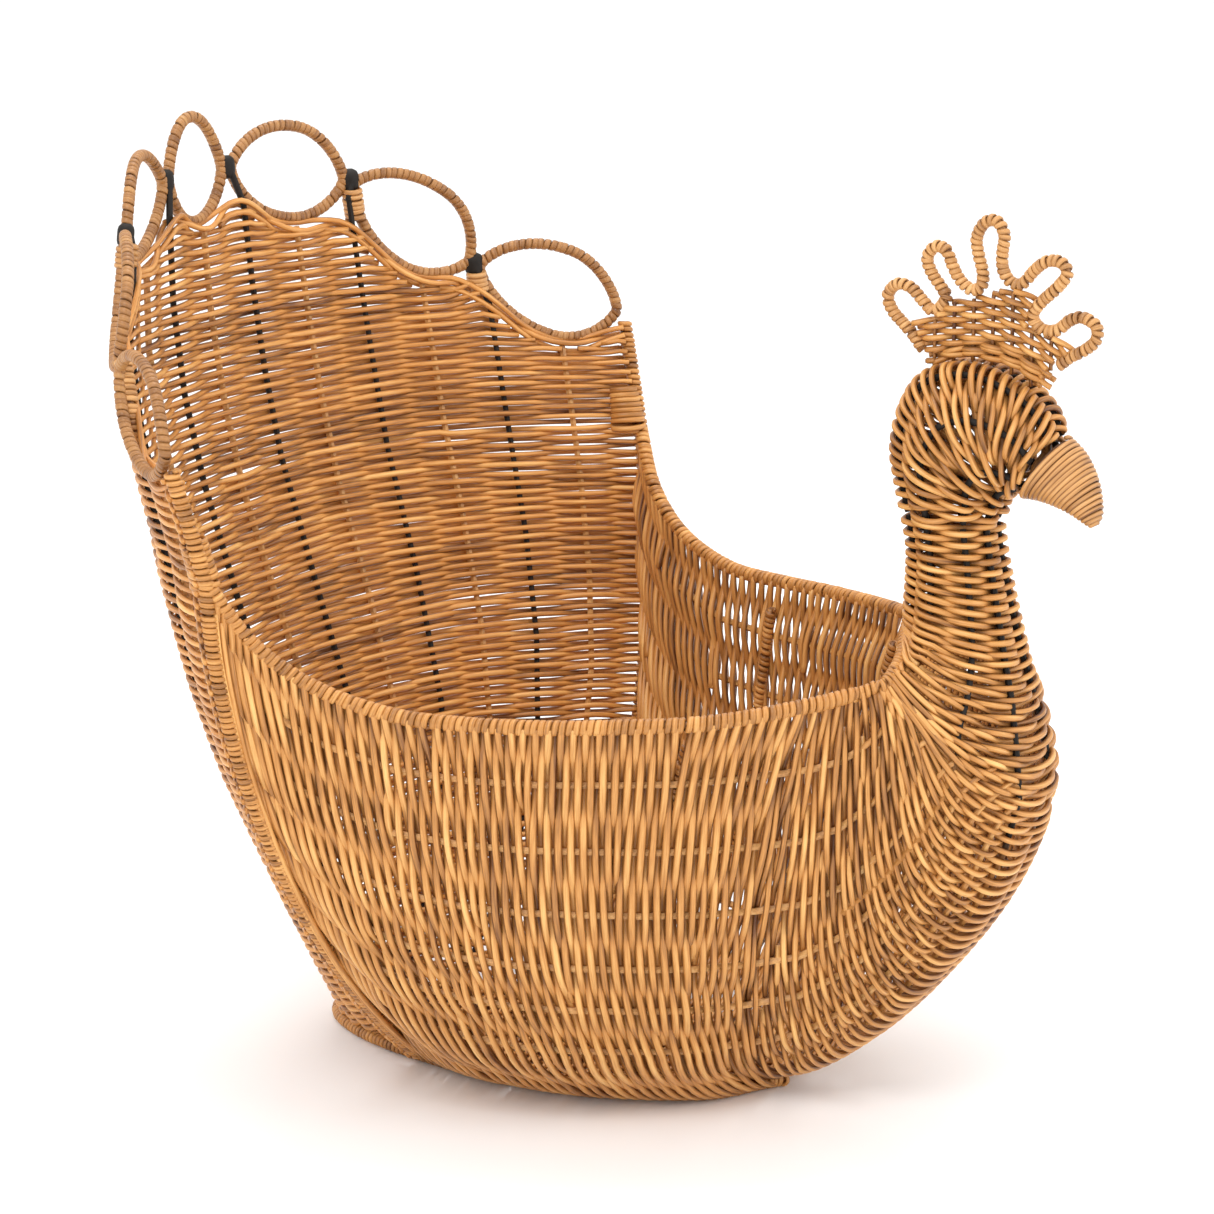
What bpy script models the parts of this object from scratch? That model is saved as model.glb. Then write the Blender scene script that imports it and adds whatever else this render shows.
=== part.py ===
"""A woven basket in the shape of a peacock, as separate pieces.

The bird looks along +X, +Z is up and the middle of the base stands on the origin.
Every length is in metres. Tables of places are shares of the named sizes.
The woven walls are closed skins whose outer face is the outside of the weave.
"""

import math

import bmesh
import bpy
import numpy as np

# Sizes of the whole basket.
body_reach = 0.200
body_half_width = 0.181
body_height = 0.200
base_half_width = 0.055
tail_reach = 0.1845
tail_rise = 0.160
head_length = 0.080
head_height = 0.067
head_half_width = 0.025
beak_length = 0.035
beak_drop = 0.038
crest_height = 0.060

# Sizes of the cane, the wire and the gaps between pieces.
gap = 0.0003
slack = 0.0003
loop_slack = 0.0009
skin_thickness = 0.0022
hoop_radius = 0.003
rim_radius = 0.0032
post_radius = 0.0026
rod_radius = 0.0015
wire_radius = 0.0014
rib_radius = 0.0018
loop_radius = 0.00265
crest_wire_radius = 0.00265
crest_thickness = 0.005
base_thickness = 0.004
beak_wrap_radius = 0.00068

# How finely the pieces are drawn, and how far along a face an edge is looked for.
joint_share = 0.03
curve_count = 400
face_step = 0.000125
loop_sides = 2
rod_sides = 1
sharp_angle = math.radians(40)
edge_search = 1 / 9
seam_search = 0.5
front_search = 0.8

# Colours of the cane and of the wire.
straw = (0.74, 0.47, 0.20, 1.0)
honey = (0.63, 0.36, 0.13, 1.0)
tan = (0.50, 0.27, 0.09, 1.0)
black_iron = (0.02, 0.018, 0.017, 1.0)

# Rows along the body, from the tail seam round the breast and up the neck:
# rim x, rim z, rim half width, lower x, lower half width, lower z,
# bulge at the rim, reach of the upper pull, bulge below, reach of the lower pull,
# shift of the lower pull, back x, back z, how much of the back is closed.
body_shares = np.array([
    (-0.29, 1.2, 1, -0.205, 0.8727, 0, 0.02, 0.38, 0.5, 0.24, 0.095, -0.29, 1.2, 0),
    (-0.22, 1.07, 0.9337, -0.14, 0.9273, 0, 0.02, 0.38, 0.52, 0.2, 0.06, -0.22, 1.07, 0),
    (-0.11, 0.98, 0.8674, -0.07, 0.9818, 0, 0.02, 0.38, 0.55, 0.14, 0.03, -0.11, 0.98, 0),
    (0.04, 0.93, 0.8066, 0, 1, 0, 0.02, 0.4, 0.58, 0.1, 0.01, 0.04, 0.93, 0),
    (0.2, 0.9225, 0.7624, 0.09, 0.9818, 0, 0.02, 0.42, 0.6, 0.08, 0, 0.2, 0.9225, 0),
    (0.35, 0.925, 0.7127, 0.18, 0.9455, 0, 0.02, 0.43, 0.62, 0.06, 0, 0.35, 0.925, 0),
    (0.49, 0.93, 0.6409, 0.275, 0.8636, 0, 0.03, 0.44, 0.64, 0.05, 0, 0.49, 0.93, 0),
    (0.61, 0.935, 0.5635, 0.37, 0.7273, 0, 0.04, 0.46, 0.66, 0.05, 0, 0.61, 0.935, 0),
    (0.705, 0.9475, 0.4862, 0.47, 0.4909, 0, 0.05, 0.48, 0.7, 0.04, 0, 0.705, 0.9475, 0),
    (0.775, 0.96, 0.4144, 0.555, 0, 0, 0.08, 0.5, 0.72, 0.02, 0, 0.775, 0.96, 0),
    (0.815, 0.9675, 0.3702, 0.67, 0, 0.045, 0.1, 0.52, 0.6, 0, 0, 0.815, 0.9675, 0),
    (0.84, 0.975, 0.3425, 0.805, 0, 0.145, 0.12, 0.55, 0.58, 0, 0, 0.84, 0.975, 0),
    (0.855, 0.9775, 0.326, 0.94, 0, 0.29, 0.1, 0.55, 0.56, 0, 0, 0.855, 0.9775, 0),
    (0.865, 0.98, 0.3149, 1.05, 0, 0.44, 0.06, 0.55, 0.56, 0, 0, 0.865, 0.98, 0),
    (0.875, 0.985, 0.3066, 1.1225, 0, 0.585, 0.03, 0.55, 0.56, 0, 0, 0.875, 0.985, 0),
    (0.89, 0.995, 0.2928, 1.155, 0, 0.715, 0, 0.55, 0.56, 0, 0, 0.88, 0.995, 0),
    (0.91, 1.015, 0.2597, 1.14, 0, 0.82, 0, 0.55, 0.56, 0, 0, 0.87, 1.02, 0.28),
    (0.94, 1.04, 0.1989, 1.1175, 0, 0.92, 0, 0.55, 0.56, 0, 0, 0.845, 1.05, 0.65),
    (0.9575, 1.075, 0.1575, 1.09, 0, 1.015, 0, 0.55, 0.56, 0, 0, 0.8325, 1.09, 1),
    (0.95, 1.145, 0.1326, 1.0675, 0, 1.11, 0, 0.55, 0.56, 0, 0, 0.8325, 1.16, 1),
    (0.94, 1.225, 0.1188, 1.0475, 0, 1.205, 0, 0.55, 0.56, 0, 0, 0.8315, 1.23, 1),
    (0.9275, 1.29, 0.116, 1.0375, 0, 1.275, 0, 0.55, 0.56, 0, 0, 0.8175, 1.295, 1),
])
keel_row = 9
rim_end_row = 12
closed_row = 18
neck_row = 21

# Rings of the head, fanned about the throat: throat x and z and top x and z from
# the middle of the neck's end, then the half width.
head_shares = np.array([
    (0.275, 0, -0.275, 0.0149, 0.84),
    (0.3, 0.0746, -0.3125, 0.2239, 0.9),
    (0.3125, 0.1194, -0.3375, 0.4478, 0.96),
    (0.3188, 0.1343, -0.2938, 0.7015, 1),
    (0.3313, 0.1493, -0.1625, 0.9328, 1),
    (0.3438, 0.1567, 0.1063, 1.0149, 0.98),
    (0.3563, 0.1642, 0.3625, 0.9254, 0.9),
    (0.3688, 0.1716, 0.5313, 0.7687, 0.8),
    (0.3813, 0.1791, 0.6125, 0.5821, 0.68),
])

# Rings of the beak from its root to its tip: lower x and z and upper x and z from
# the lower root, then the half width.
beak_shares = np.array([
    (0, 0, 0.5286, 0.7105, 0.68),
    (0.2143, -0.0079, 0.7286, 0.5579, 0.58),
    (0.4286, -0.0526, 0.8657, 0.3684, 0.48),
    (0.6143, -0.1184, 0.9514, 0.1579, 0.368),
    (0.7714, -0.1974, 0.9857, -0.0526, 0.252),
    (0.8714, -0.25, 0.9571, -0.1842, 0.12),
])
beak_turns = 17
beak_turn_points = 14
beak_table_steps = 20

# Rear of the tail and its side edges, by height number: 0 is the floor, 1 the top
# of the seam and 2 the tail's full height.
tail_rear_shares = np.array([
    (0, -0.5935), (0.2083, -0.607), (0.375, -0.629), (0.479, -0.664), (0.592, -0.721),
    (0.758, -0.797), (0.979, -0.894), (1.3, -0.954), (1.5625, -0.981), (1.825, -0.9946),
    (2, -1),
])
tail_edge_shares = np.array([
    (1, -0.29, 1), (1.156, -0.32, 1.0166), (1.3175, -0.3525, 1.033), (1.473, -0.365, 1.011),
    (1.625, -0.35, 0.972), (1.75, -0.33, 0.928), (1.875, -0.315, 0.895), (2, -0.3, 0.865),
])
tail_half_turn = math.radians(62)

# Where neighbouring tail loops meet: side number from -1 to 1, height number.
loop_meets = np.array([
    (-1, 1.3175), (-0.70, 1.473), (-0.445, 1.746), (-0.118, 1.8256),
    (0.118, 1.8256), (0.445, 1.746), (0.70, 1.473), (1, 1.3175),
])
# Bulge of each loop above and below its chord, and how far its peak is shifted.
loop_bulge_shares = np.array([
    (0.131, 0.134, -0.15), (0.1375, 0.125, -0.15), (0.1375, 0.125, -0.12), (0.156, 0.131, 0),
    (0.1375, 0.125, 0.12), (0.1375, 0.125, 0.15), (0.131, 0.134, 0.15),
])
loop_corner_power = 2.1
loop_side_power = 0.72
loop_count = 7
loop_points = 22
loop_columns = 8
tail_row_count = 8
tail_edge_side = 0.985
lowest_top_share = 0.8
post_top_steps = 5

# Rods along the bowl's sides and wires along the neck, as shares round the section.
rod_shares = (0.107, 0.225, 0.343, 0.454, 0.554, 0.678)
neck_wire_shares = (-0.7, -0.15, 0.4, 0.8)
neck_wire_start_rows = (18.5, 18.5, 11, 11)
rod_start_row = 0.4
rod_end_row = 12
rib_rows = (("rear", 4), ("front", 7))

# Rows and turns that the walls are drawn with, besides those of the rods and wires.
wall_rows = (1, 2, 3, 4, 5, 6, 7, 8, 8.5)
breast_end_rows = (16.5, 17, 17.5)
neck_middle_rows = (18.5, 19, 20)
head_rows = (1, 2, 3, 4, 4.5, 5, 5.5, 6, 6.5, 7)
keel_turns = (0.9, 1)
side_turns = np.array((0, 0.05, 0.107, 0.166, 0.225, 0.284, 0.343, 0.4, 0.454, 0.504, 0.554, 0.616,
                       0.678, 0.76, 0.84, 0.92, 1))
ring_turns = (-1, -0.85, -0.7, -0.42, -0.15, 0.12, 0.4, 0.6, 0.8, 1)
gusset_shares = np.array((0, 1 / 3, 2 / 3))

# The crest stands on the head. Places are x and z from its middle: the one wire that
# is bent into five loops, then the edge of the woven fan below it.
crest_middle_shares = (0.2, 0.9925)
crest_wire_shares = np.array([
    (-0.519, 0.038), (-0.582, 0.121), (-0.663, 0.199), (-0.743, 0.278), (-0.778, 0.378),
    (-0.709, 0.46), (-0.606, 0.444), (-0.521, 0.366), (-0.431, 0.298), (-0.346, 0.394),
    (-0.375, 0.455), (-0.456, 0.558), (-0.49, 0.657), (-0.432, 0.738), (-0.353, 0.719),
    (-0.305, 0.622), (-0.257, 0.538), (-0.195, 0.482), (-0.146, 0.466), (-0.088, 0.499),
    (-0.081, 0.589), (-0.114, 0.705), (-0.13, 0.821), (-0.074, 0.926), (0.013, 0.942),
    (0.07, 0.854), (0.058, 0.735), (0.064, 0.627), (0.122, 0.544), (0.207, 0.538), (0.295, 0.638),
    (0.383, 0.703), (0.482, 0.703), (0.529, 0.632), (0.46, 0.534), (0.363, 0.442), (0.297, 0.36),
    (0.298, 0.293), (0.368, 0.241), (0.467, 0.249), (0.555, 0.321), (0.644, 0.349), (0.743, 0.299),
    (0.746, 0.207), (0.668, 0.133), (0.562, 0.073), (0.491, 0.016),
])
crest_wire_steps = 76
crest_edge_shares = np.array([
    (-0.431, 0.015), (-0.506, 0.142), (-0.548, 0.22), (-0.496, 0.238), (-0.417, 0.238),
    (-0.332, 0.319), (-0.245, 0.41), (-0.144, 0.407), (-0.026, 0.429), (0.118, 0.483),
    (0.218, 0.477), (0.278, 0.443), (0.23, 0.363), (0.223, 0.27), (0.307, 0.181), (0.469, 0.182),
    (0.542, 0.147), (0.481, 0.062), (0.42, 0.001),
])
crest_foot_rows = np.array([6.5, 6, 5.5, 5, 4.5, 4])


def finish(name, colour, roughness, metallic=0.0):
    material = bpy.data.materials.new(name)
    material.diffuse_color = colour
    material.use_nodes = True
    shader = material.node_tree.nodes["Principled BSDF"]
    shader.inputs["Base Color"].default_value = colour
    shader.inputs["Roughness"].default_value = roughness
    shader.inputs["Metallic"].default_value = metallic
    return material


def spline(table, place):
    """A smooth run through the rows of a table, one row to each whole number."""
    place = np.asarray(place, float)
    last = len(table) - 1
    row = np.clip(np.floor(place).astype(int), 0, last - 1)
    share = (place - row)[..., None]
    here = table[row]
    after = table[row + 1]
    before = np.where((row == 0)[..., None], 2 * here - after, table[np.maximum(row - 1, 0)])
    beyond = np.where((row == last - 1)[..., None], 2 * after - here, table[np.minimum(row + 2, last)])
    curve = 2 * here + (after - before) * share
    curve += (2 * before - 5 * here + 4 * after - beyond) * share**2
    curve += (3 * here - before - 3 * after + beyond) * share**3
    return curve / 2


def body(row, turn):
    """Outer face of the left half of body and neck.

    row counts along the body. turn is 0 at the rim or side, 1 at the base hoop or
    keel and -1 at the back of the neck.
    """
    row, turn = np.broadcast_arrays(np.asarray(row, float), np.asarray(turn, float))
    shares = spline(body_shares, row)
    rim = np.stack([
        shares[..., 0] * body_reach,
        shares[..., 2] * body_half_width,
        shares[..., 1] * body_height,
    ], -1)
    keel = np.stack([
        shares[..., 3] * body_reach,
        shares[..., 4] * base_half_width,
        np.maximum(shares[..., 5], 0) * body_height + hoop_radius,
    ], -1)
    back = np.stack([
        shares[..., 11] * body_reach,
        np.zeros_like(turn),
        shares[..., 12] * body_height,
    ], -1)
    fall = (keel - rim) * (1, 0, 1)
    bulge = (shares[..., 6] * rim[..., 1])[..., None] * (0, 1, 0)
    upper = rim + bulge + fall * shares[..., 7, None]
    spread = (shares[..., 8] * rim[..., 1])[..., None] * (0, 1, 0)
    shift = (shares[..., 10] * body_reach)[..., None] * (1, 0, 0)
    lower = keel + spread + shift - fall * shares[..., 9, None]
    front = bezier(rim, upper, lower, keel, np.clip(turn, 0, 1))
    middle = rim * (1, 0, 1)
    pull = 4 / 3 * (math.sqrt(2) - 1)
    rear = bezier(rim, rim + (back - middle) * pull, back + (rim - middle) * pull, back,
                  np.clip(-turn, 0, 1))
    return np.where((turn >= 0)[..., None], front, rear)


def bezier(start, first, second, end, share):
    share = share[..., None]
    rest = 1 - share
    return rest**3 * start + 3 * rest**2 * share * first + 3 * rest * share**2 * second + share**3 * end


def neck_end():
    """Middle of the neck's upper end, as x and z."""
    front_x = body_shares[neck_row, 3] * body_reach
    back_x = body_shares[neck_row, 11] * body_reach
    height = body_shares[neck_row, 5] * body_height
    return (front_x + back_x) / 2, height + hoop_radius


def ring(sizes, middle, angle, depth):
    """Points round a ring by angle, 0 on top, drawn in by a depth.

    sizes are its lower x and z and its upper x and z from the middle, and its half width.
    """
    lower_x, lower_z, upper_x, upper_z, half_width = np.moveaxis(sizes, -1, 0)
    tall = np.hypot(upper_x - lower_x, upper_z - lower_z) / 2
    reach = (tall - depth) / tall * np.cos(angle)
    return np.stack([
        middle[0] + (lower_x + upper_x) / 2 + (upper_x - lower_x) / 2 * reach,
        (half_width - depth) * np.sin(angle),
        middle[1] + (lower_z + upper_z) / 2 + (upper_z - lower_z) / 2 * reach,
    ], -1)


def head(row, turn):
    """Outer face of the left half of the head, in the same turns as the body."""
    row, turn = np.broadcast_arrays(np.asarray(row, float), np.asarray(turn, float))
    size = np.array((head_length, head_height, head_length, head_height, head_half_width))
    return ring(spline(head_shares, row) * size, neck_end(), (turn + 1) / 2 * math.pi, 0)


def beak(row, angle, depth):
    """Points of the beak by angle round it, 0 on top, drawn in by a depth."""
    root = head(len(head_shares) - 1, 1)
    size = np.array((beak_length, beak_drop, beak_length, beak_drop, head_half_width))
    return ring(spline(beak_shares, row) * size, (root[0], root[2]), angle, depth)


def tail_z(level):
    seam_top = body_shares[0, 1] * body_height
    return np.where(level < 1, level * seam_top, seam_top + (level - 1) * tail_rise)


def tail(level, side):
    """Outer face of the tail. level is the height number and side runs from -1 to 1."""
    level, side = np.broadcast_arrays(np.asarray(level, float), np.asarray(side, float))
    z = tail_z(level)
    rear_row = np.interp(level, tail_rear_shares[:, 0], np.arange(len(tail_rear_shares)))
    rear_x = spline(tail_rear_shares, rear_row)[..., 1] * tail_reach
    edge_row = np.interp(level, tail_edge_shares[:, 0], np.arange(len(tail_edge_shares)))
    edge = spline(tail_edge_shares, edge_row)
    seam = body(0, np.linspace(1, 0, curve_count))
    seam_x = np.interp(z, seam[:, 2], seam[:, 0])
    seam_y = np.interp(z, seam[:, 2], seam[:, 1])
    edge_x = np.where(level > 1, edge[..., 1] * body_reach, seam_x)
    edge_y = np.where(level > 1, edge[..., 2] * body_half_width, seam_y)
    depth = (edge_x - rear_x) / (1 - math.cos(tail_half_turn))
    width = edge_y / math.sin(tail_half_turn)
    return np.stack([
        rear_x + depth * (1 - np.cos(side * tail_half_turn)),
        width * np.sin(side * tail_half_turn),
        z,
    ], -1)


def facing(face, first, second):
    """Unit directions straight out of a face."""
    along = face(first + face_step, second) - face(first - face_step, second)
    across = face(first, second + face_step) - face(first, second - face_step)
    out = np.cross(along, across)
    return out / np.linalg.norm(out, axis=-1, keepdims=True)


def under(face, first, second, depth):
    """Points of a face, moved straight in by a depth."""
    return face(first, second) - facing(face, first, second) * depth


def mirrored(points):
    return points * (1, -1, 1)


def net(rows, turns):
    """Every row with every turn, as a table of rows and one of turns."""
    row_net, turn_net = np.meshgrid(rows, turns, indexing="ij")
    return row_net.copy(), turn_net.copy()


def drawn_fine(line, closed=False):
    """The same line with many points on each straight piece."""
    ends = np.concatenate([line, line[:1]]) if closed else line
    places = np.linspace(0, len(ends) - 1, curve_count)
    return np.stack([np.interp(places, np.arange(len(ends)), ends[:, k]) for k in range(3)], -1)


def distance(points, line):
    """Least distance from each point to a line drawn with many points."""
    flat = points.reshape(-1, 3)
    found = np.full(len(flat), np.inf)
    for spot in line:
        found = np.minimum(found, np.linalg.norm(flat - spot, axis=1))
    return found.reshape(points.shape[:-1])


def clear_share(face_line, line, room):
    """Where a line along a face comes clear of a round piece, as a share of the run.

    face_line gives points for shares from 0 (at the piece) to 1.
    """
    shares = np.linspace(0, 1, curve_count)
    near = np.nonzero(distance(face_line(shares), line) < room)[0]
    return shares[min(near.max() + 1, curve_count - 1)] if len(near) else 0.0


def eye(index, count):
    """Centre line of one tail loop as height numbers and side numbers."""
    (side_a, level_a), (side_b, level_b) = loop_meets[index], loop_meets[index + 1]
    side_m = (side_a + side_b) / 2
    level_m = (level_a + level_b) / 2
    ends = tail(level_m, np.array((side_a, side_b)))
    across = np.linalg.norm(ends[1] - ends[0]) / 2
    rise = (tail_z(level_b) - tail_z(level_a)) / 2
    half = math.hypot(across, rise)
    cos_slope = across / half
    sin_slope = rise / half
    reach = half - loop_radius - gap
    up, down, shift = loop_bulge_shares[index]
    angle = np.linspace(0, 2 * math.pi, count, endpoint=False)
    run = np.cos(angle)
    skewed = np.where(run > shift, (run - shift) / (1 - shift), (run - shift) / (1 + shift))
    swell = np.clip(1 - np.abs(skewed) ** loop_corner_power, 0, 1) ** loop_side_power
    offset = np.where(np.sin(angle) > 0, up, -down) * tail_rise * swell
    side = side_m + (run * reach * cos_slope - offset * sin_slope) / across * (side_b - side_a) / 2
    level = level_m + (run * reach * sin_slope + offset * cos_slope) / tail_rise
    return level, side


def tail_top(side, loops):
    """Height number where the panel stops just under the loops."""
    levels = np.linspace(loop_meets[0, 1] * lowest_top_share, 2, curve_count)
    close = distance(tail(levels, side), loops) < loop_radius + gap + loop_slack
    return levels[np.nonzero(close)[0].min()]


def crest_places(shares):
    """Places on the crest, which stands up from the crown between the two halves."""
    middle_x, middle_z = neck_end()
    return np.stack([
        middle_x + crest_middle_shares[0] * head_length + shares[:, 0] * crest_height,
        np.zeros(len(shares)),
        middle_z + crest_middle_shares[1] * head_height + shares[:, 1] * crest_height,
    ], -1)


def add_mesh(name, points, faces, material):
    mesh = bpy.data.meshes.new(name)
    mesh.from_pydata([tuple(point) for point in points], [], faces)
    shape = bmesh.new()
    shape.from_mesh(mesh)
    bmesh.ops.recalc_face_normals(shape, faces=shape.faces)
    shape.to_mesh(mesh)
    shape.free()
    mesh.materials.append(material)
    mesh.shade_smooth()
    mesh.set_sharp_from_angle(angle=sharp_angle)
    part = bpy.data.objects.new(name, mesh)
    bpy.context.collection.objects.link(part)
    return part


def skin(name, outer, inner, wrap, material):
    """A closed wall between two nets of points. wrap joins its last column to its first."""
    rows, columns = outer.shape[:2]
    points = np.concatenate([outer.reshape(-1, 3), inner.reshape(-1, 3)])
    count = rows * columns
    steps = columns if wrap else columns - 1
    faces = []
    for i in range(rows - 1):
        for j in range(steps):
            k = (j + 1) % columns
            quad = [i * columns + j, (i + 1) * columns + j, (i + 1) * columns + k, i * columns + k]
            faces.append(quad)
            faces.append([count + corner for corner in reversed(quad)])
    for j in range(steps):
        k = (j + 1) % columns
        top = (rows - 1) * columns
        faces.append([j, k, count + k, count + j])
        faces.append([top + k, top + j, count + top + j, count + top + k])
    if not wrap:
        for i in range(rows - 1):
            low = i * columns
            high = (i + 1) * columns
            faces.append([high, low, count + low, count + high])
            last = columns - 1
            faces.append([low + last, high + last, count + high + last, count + low + last])
    return add_mesh(name, points, faces, material)


def closed_skin(name, face, rows, turns, material):
    """A woven tube made of two mirrored halves."""
    row_net, turn_net = net(rows, turns)
    outer = face(row_net, turn_net)
    inner = under(face, row_net, turn_net, skin_thickness)
    for half in (outer, inner):
        half[:, 0, 1] = 0
        half[:, -1, 1] = 0
    outer = np.concatenate([outer, mirrored(outer[:, -2:0:-1])], axis=1)
    inner = np.concatenate([inner, mirrored(inner[:, -2:0:-1])], axis=1)
    return skin(name, outer, inner, True, material)


def loft(name, rings, material):
    """A closed solid through a run of rings."""
    count, around = rings.shape[:2]
    faces = [list(range(around))[::-1], [(count - 1) * around + k for k in range(around)]]
    for i in range(count - 1):
        for k in range(around):
            n = (k + 1) % around
            faces.append([i * around + k, i * around + n, (i + 1) * around + n, (i + 1) * around + k])
    return add_mesh(name, rings.reshape(-1, 3), faces, material)


def tube(name, points, radius, sides, material, closed=False):
    """A round cane or wire along a run of points."""
    curve = bpy.data.curves.new(name, "CURVE")
    curve.dimensions = "3D"
    curve.bevel_depth = radius
    curve.bevel_resolution = sides
    curve.use_fill_caps = True
    run = curve.splines.new("POLY")
    run.points.add(len(points) - 1)
    for spot, point in zip(run.points, points):
        spot.co = (*point, 1.0)
    run.use_cyclic_u = closed
    curve.materials.append(material)
    part = bpy.data.objects.new(name, curve)
    bpy.context.collection.objects.link(part)
    return part


def prism(name, outline, lift, material):
    """A closed plate: an outline and the same outline moved by lift."""
    count = len(outline)
    points = np.concatenate([outline, outline + lift])
    faces = [list(range(count)), list(range(2 * count - 1, count - 1, -1))]
    for i in range(count):
        k = (i + 1) % count
        faces.append([i, count + i, count + k, k])
    return add_mesh(name, points, faces, material)


for old in list(bpy.data.objects):
    bpy.data.objects.remove(old)

natural = finish("natural cane", honey, 0.5)
pale = finish("pale cane", straw, 0.45)
dark = finish("dark cane", tan, 0.55)
iron = finish("black wire", black_iron, 0.4, 0.6)

# Base hoop: the oval that every wall stands on, wrapped by the ends of the weavers.
tail_sides = np.linspace(-1, 1, loop_columns * loop_count + 1)
half_loop = loop_columns // 2
hoop_left = body(np.array((0, *wall_rows, keel_row)), 1)
hoop_rear = tail(hoop_radius / tail_z(np.array(1.0)), tail_sides[half_loop:-half_loop:half_loop])
hoop_line = np.concatenate([hoop_rear, hoop_left, mirrored(hoop_left[-2::-1])])
tube("base_hoop", hoop_line, hoop_radius, loop_sides, natural, closed=True)
hoop_fine = drawn_fine(hoop_line, closed=True)

# Base panel: the woven floor inside the hoop, flat underneath.
ahead = np.roll(hoop_line, -1, axis=0) - np.roll(hoop_line, 1, axis=0)
inward = np.stack([-ahead[:, 1], ahead[:, 0], np.zeros(len(ahead))], -1)
inward /= np.linalg.norm(inward, axis=1, keepdims=True)
inward *= -np.sign((inward[:, :2] * hoop_line[:, :2]).sum(axis=1))[:, None]
floor_outline = (hoop_line + inward * (hoop_radius + gap + slack)) * (1, 1, 0)
prism("base_panel", floor_outline[::-1], np.array((0, 0, base_thickness)), natural)

# Rims: the thick wrapped edges of the opening, from the tail seam to the neck.
rim_room = rim_radius + post_radius + gap + slack
post_fine = body(0, np.linspace(0, 1, curve_count))
rim_first = clear_share(lambda share: body(share, 0), post_fine, rim_room)
rim_rows = np.array((rim_first, rod_start_row, *wall_rows, *range(keel_row, rim_end_row + 1)))
rim_line = body(rim_rows, 0)
rim_fine = drawn_fine(rim_line)
for name, flip in (("rim_left", 1), ("rim_right", -1)):
    tube(name, rim_line * (1, flip, 1), rim_radius, loop_sides, natural)

# Posts: the canes at the two side edges of the tail, down the seams to the hoop.
post_room = post_radius + hoop_radius + gap + slack
post_low = clear_share(lambda share: body(0, 1 - share), hoop_fine, post_room)
upper_post = tail(np.linspace(1, loop_meets[-1, 1], post_top_steps + 1)[1:], 1)
last_step = upper_post[-1] - upper_post[-2]
upper_post[-1] -= last_step / np.linalg.norm(last_step) * (post_radius + 2 * loop_radius)
seam_turns = np.concatenate([[1 - post_low], side_turns[-2::-1]])
post_line = np.concatenate([body(0, seam_turns), upper_post])
post_fine = drawn_fine(post_line)
for name, flip in (("tail_post_left", 1), ("tail_post_right", -1)):
    tube(name, post_line * (1, flip, 1), post_radius, loop_sides, natural)

# Tail loops: seven wrapped wire eyes along the top of the tail.
eye_fine = []
for index in range(loop_count):
    eye_line = tail(*eye(index, loop_points))
    tube(f"tail_loop_{index + 1}", eye_line, loop_radius, loop_sides, pale, closed=True)
    eye_fine.append(tail(*eye(index, curve_count)))
eye_fine = np.concatenate(eye_fine)

# Tail panel: the upright woven sheet behind the bowl, its top cut to the loops.
height_shares = np.linspace(0, 1, tail_row_count)
tail_low = (2 * hoop_radius + gap + slack) / tail_z(np.array(1.0))
tops = np.array([tail_top(np.clip(side, -tail_edge_side, tail_edge_side), eye_fine) for side in tail_sides])
tail_levels = tail_low + height_shares[:, None] * (tops - tail_low)
tail_net_sides = np.tile(tail_sides, (tail_row_count, 1))
for i, level in enumerate(tail_levels[:, -1]):
    edge = clear_share(lambda share: tail(level, 1 - share / loop_count), post_fine,
                       post_radius + gap + slack)
    tail_net_sides[i, -1] = 1 - edge / loop_count
    if level > 1:
        tail_net_sides[i, -1] = min(tail_net_sides[i, -1], tail_net_sides[i - 1, -1])
    tail_net_sides[i, 0] = -tail_net_sides[i, -1]
skin("tail_panel", tail(tail_levels, tail_net_sides),
     under(tail, tail_levels, tail_net_sides, skin_thickness), False, dark)

# Tail stakes: a cane up the middle of each loop and an iron wire between loops.
stake_depth = skin_thickness + gap + rod_radius
wire_depth = skin_thickness + gap + wire_radius
for index in range(loop_count):
    column = half_loop + loop_columns * index
    line = under(tail, tail_levels[:, column], tail_net_sides[:, column], stake_depth)
    tube(f"tail_stake_{index + 1}", line, rod_radius, rod_sides, natural)
for index in range(1, loop_count):
    column = loop_columns * index
    line = under(tail, tail_levels[:, column], tail_net_sides[:, column], wire_depth)
    tube(f"tail_wire_{index}", line, wire_radius, rod_sides, iron)

# Side walls: woven from the rim down to the base hoop.
side_rows = np.array((0, rod_start_row, *wall_rows, keel_row - joint_share))
row_net, turn_net = net(side_rows, side_turns)
rim_edge = rim_radius + gap + 2 * slack
hoop_edge = hoop_radius + gap + 2 * slack
post_edge = post_radius + gap + 2 * slack
for i, row in enumerate(side_rows):
    top = clear_share(lambda share: body(row, share * edge_search), rim_fine, rim_edge)
    low = clear_share(lambda share: body(row, 1 - share * edge_search), hoop_fine, hoop_edge)
    turn_net[i, 0] = top * edge_search
    turn_net[i, -1] = 1 - low * edge_search
turn_net[0, 0] = turn_net[1, 0]
turn_net[0, -1] = turn_net[1, -1]
for j, turn in enumerate(turn_net[0]):
    start = clear_share(lambda share: body(share * seam_search, turn), post_fine, post_edge)
    row_net[0, j] = start * seam_search
side_outer = body(row_net, turn_net)
side_inner = under(body, row_net, turn_net, skin_thickness)
skin("side_weave_left", side_outer, side_inner, False, natural)
skin("side_weave_right", mirrored(side_outer)[:, ::-1], mirrored(side_inner)[:, ::-1], False, natural)

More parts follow.
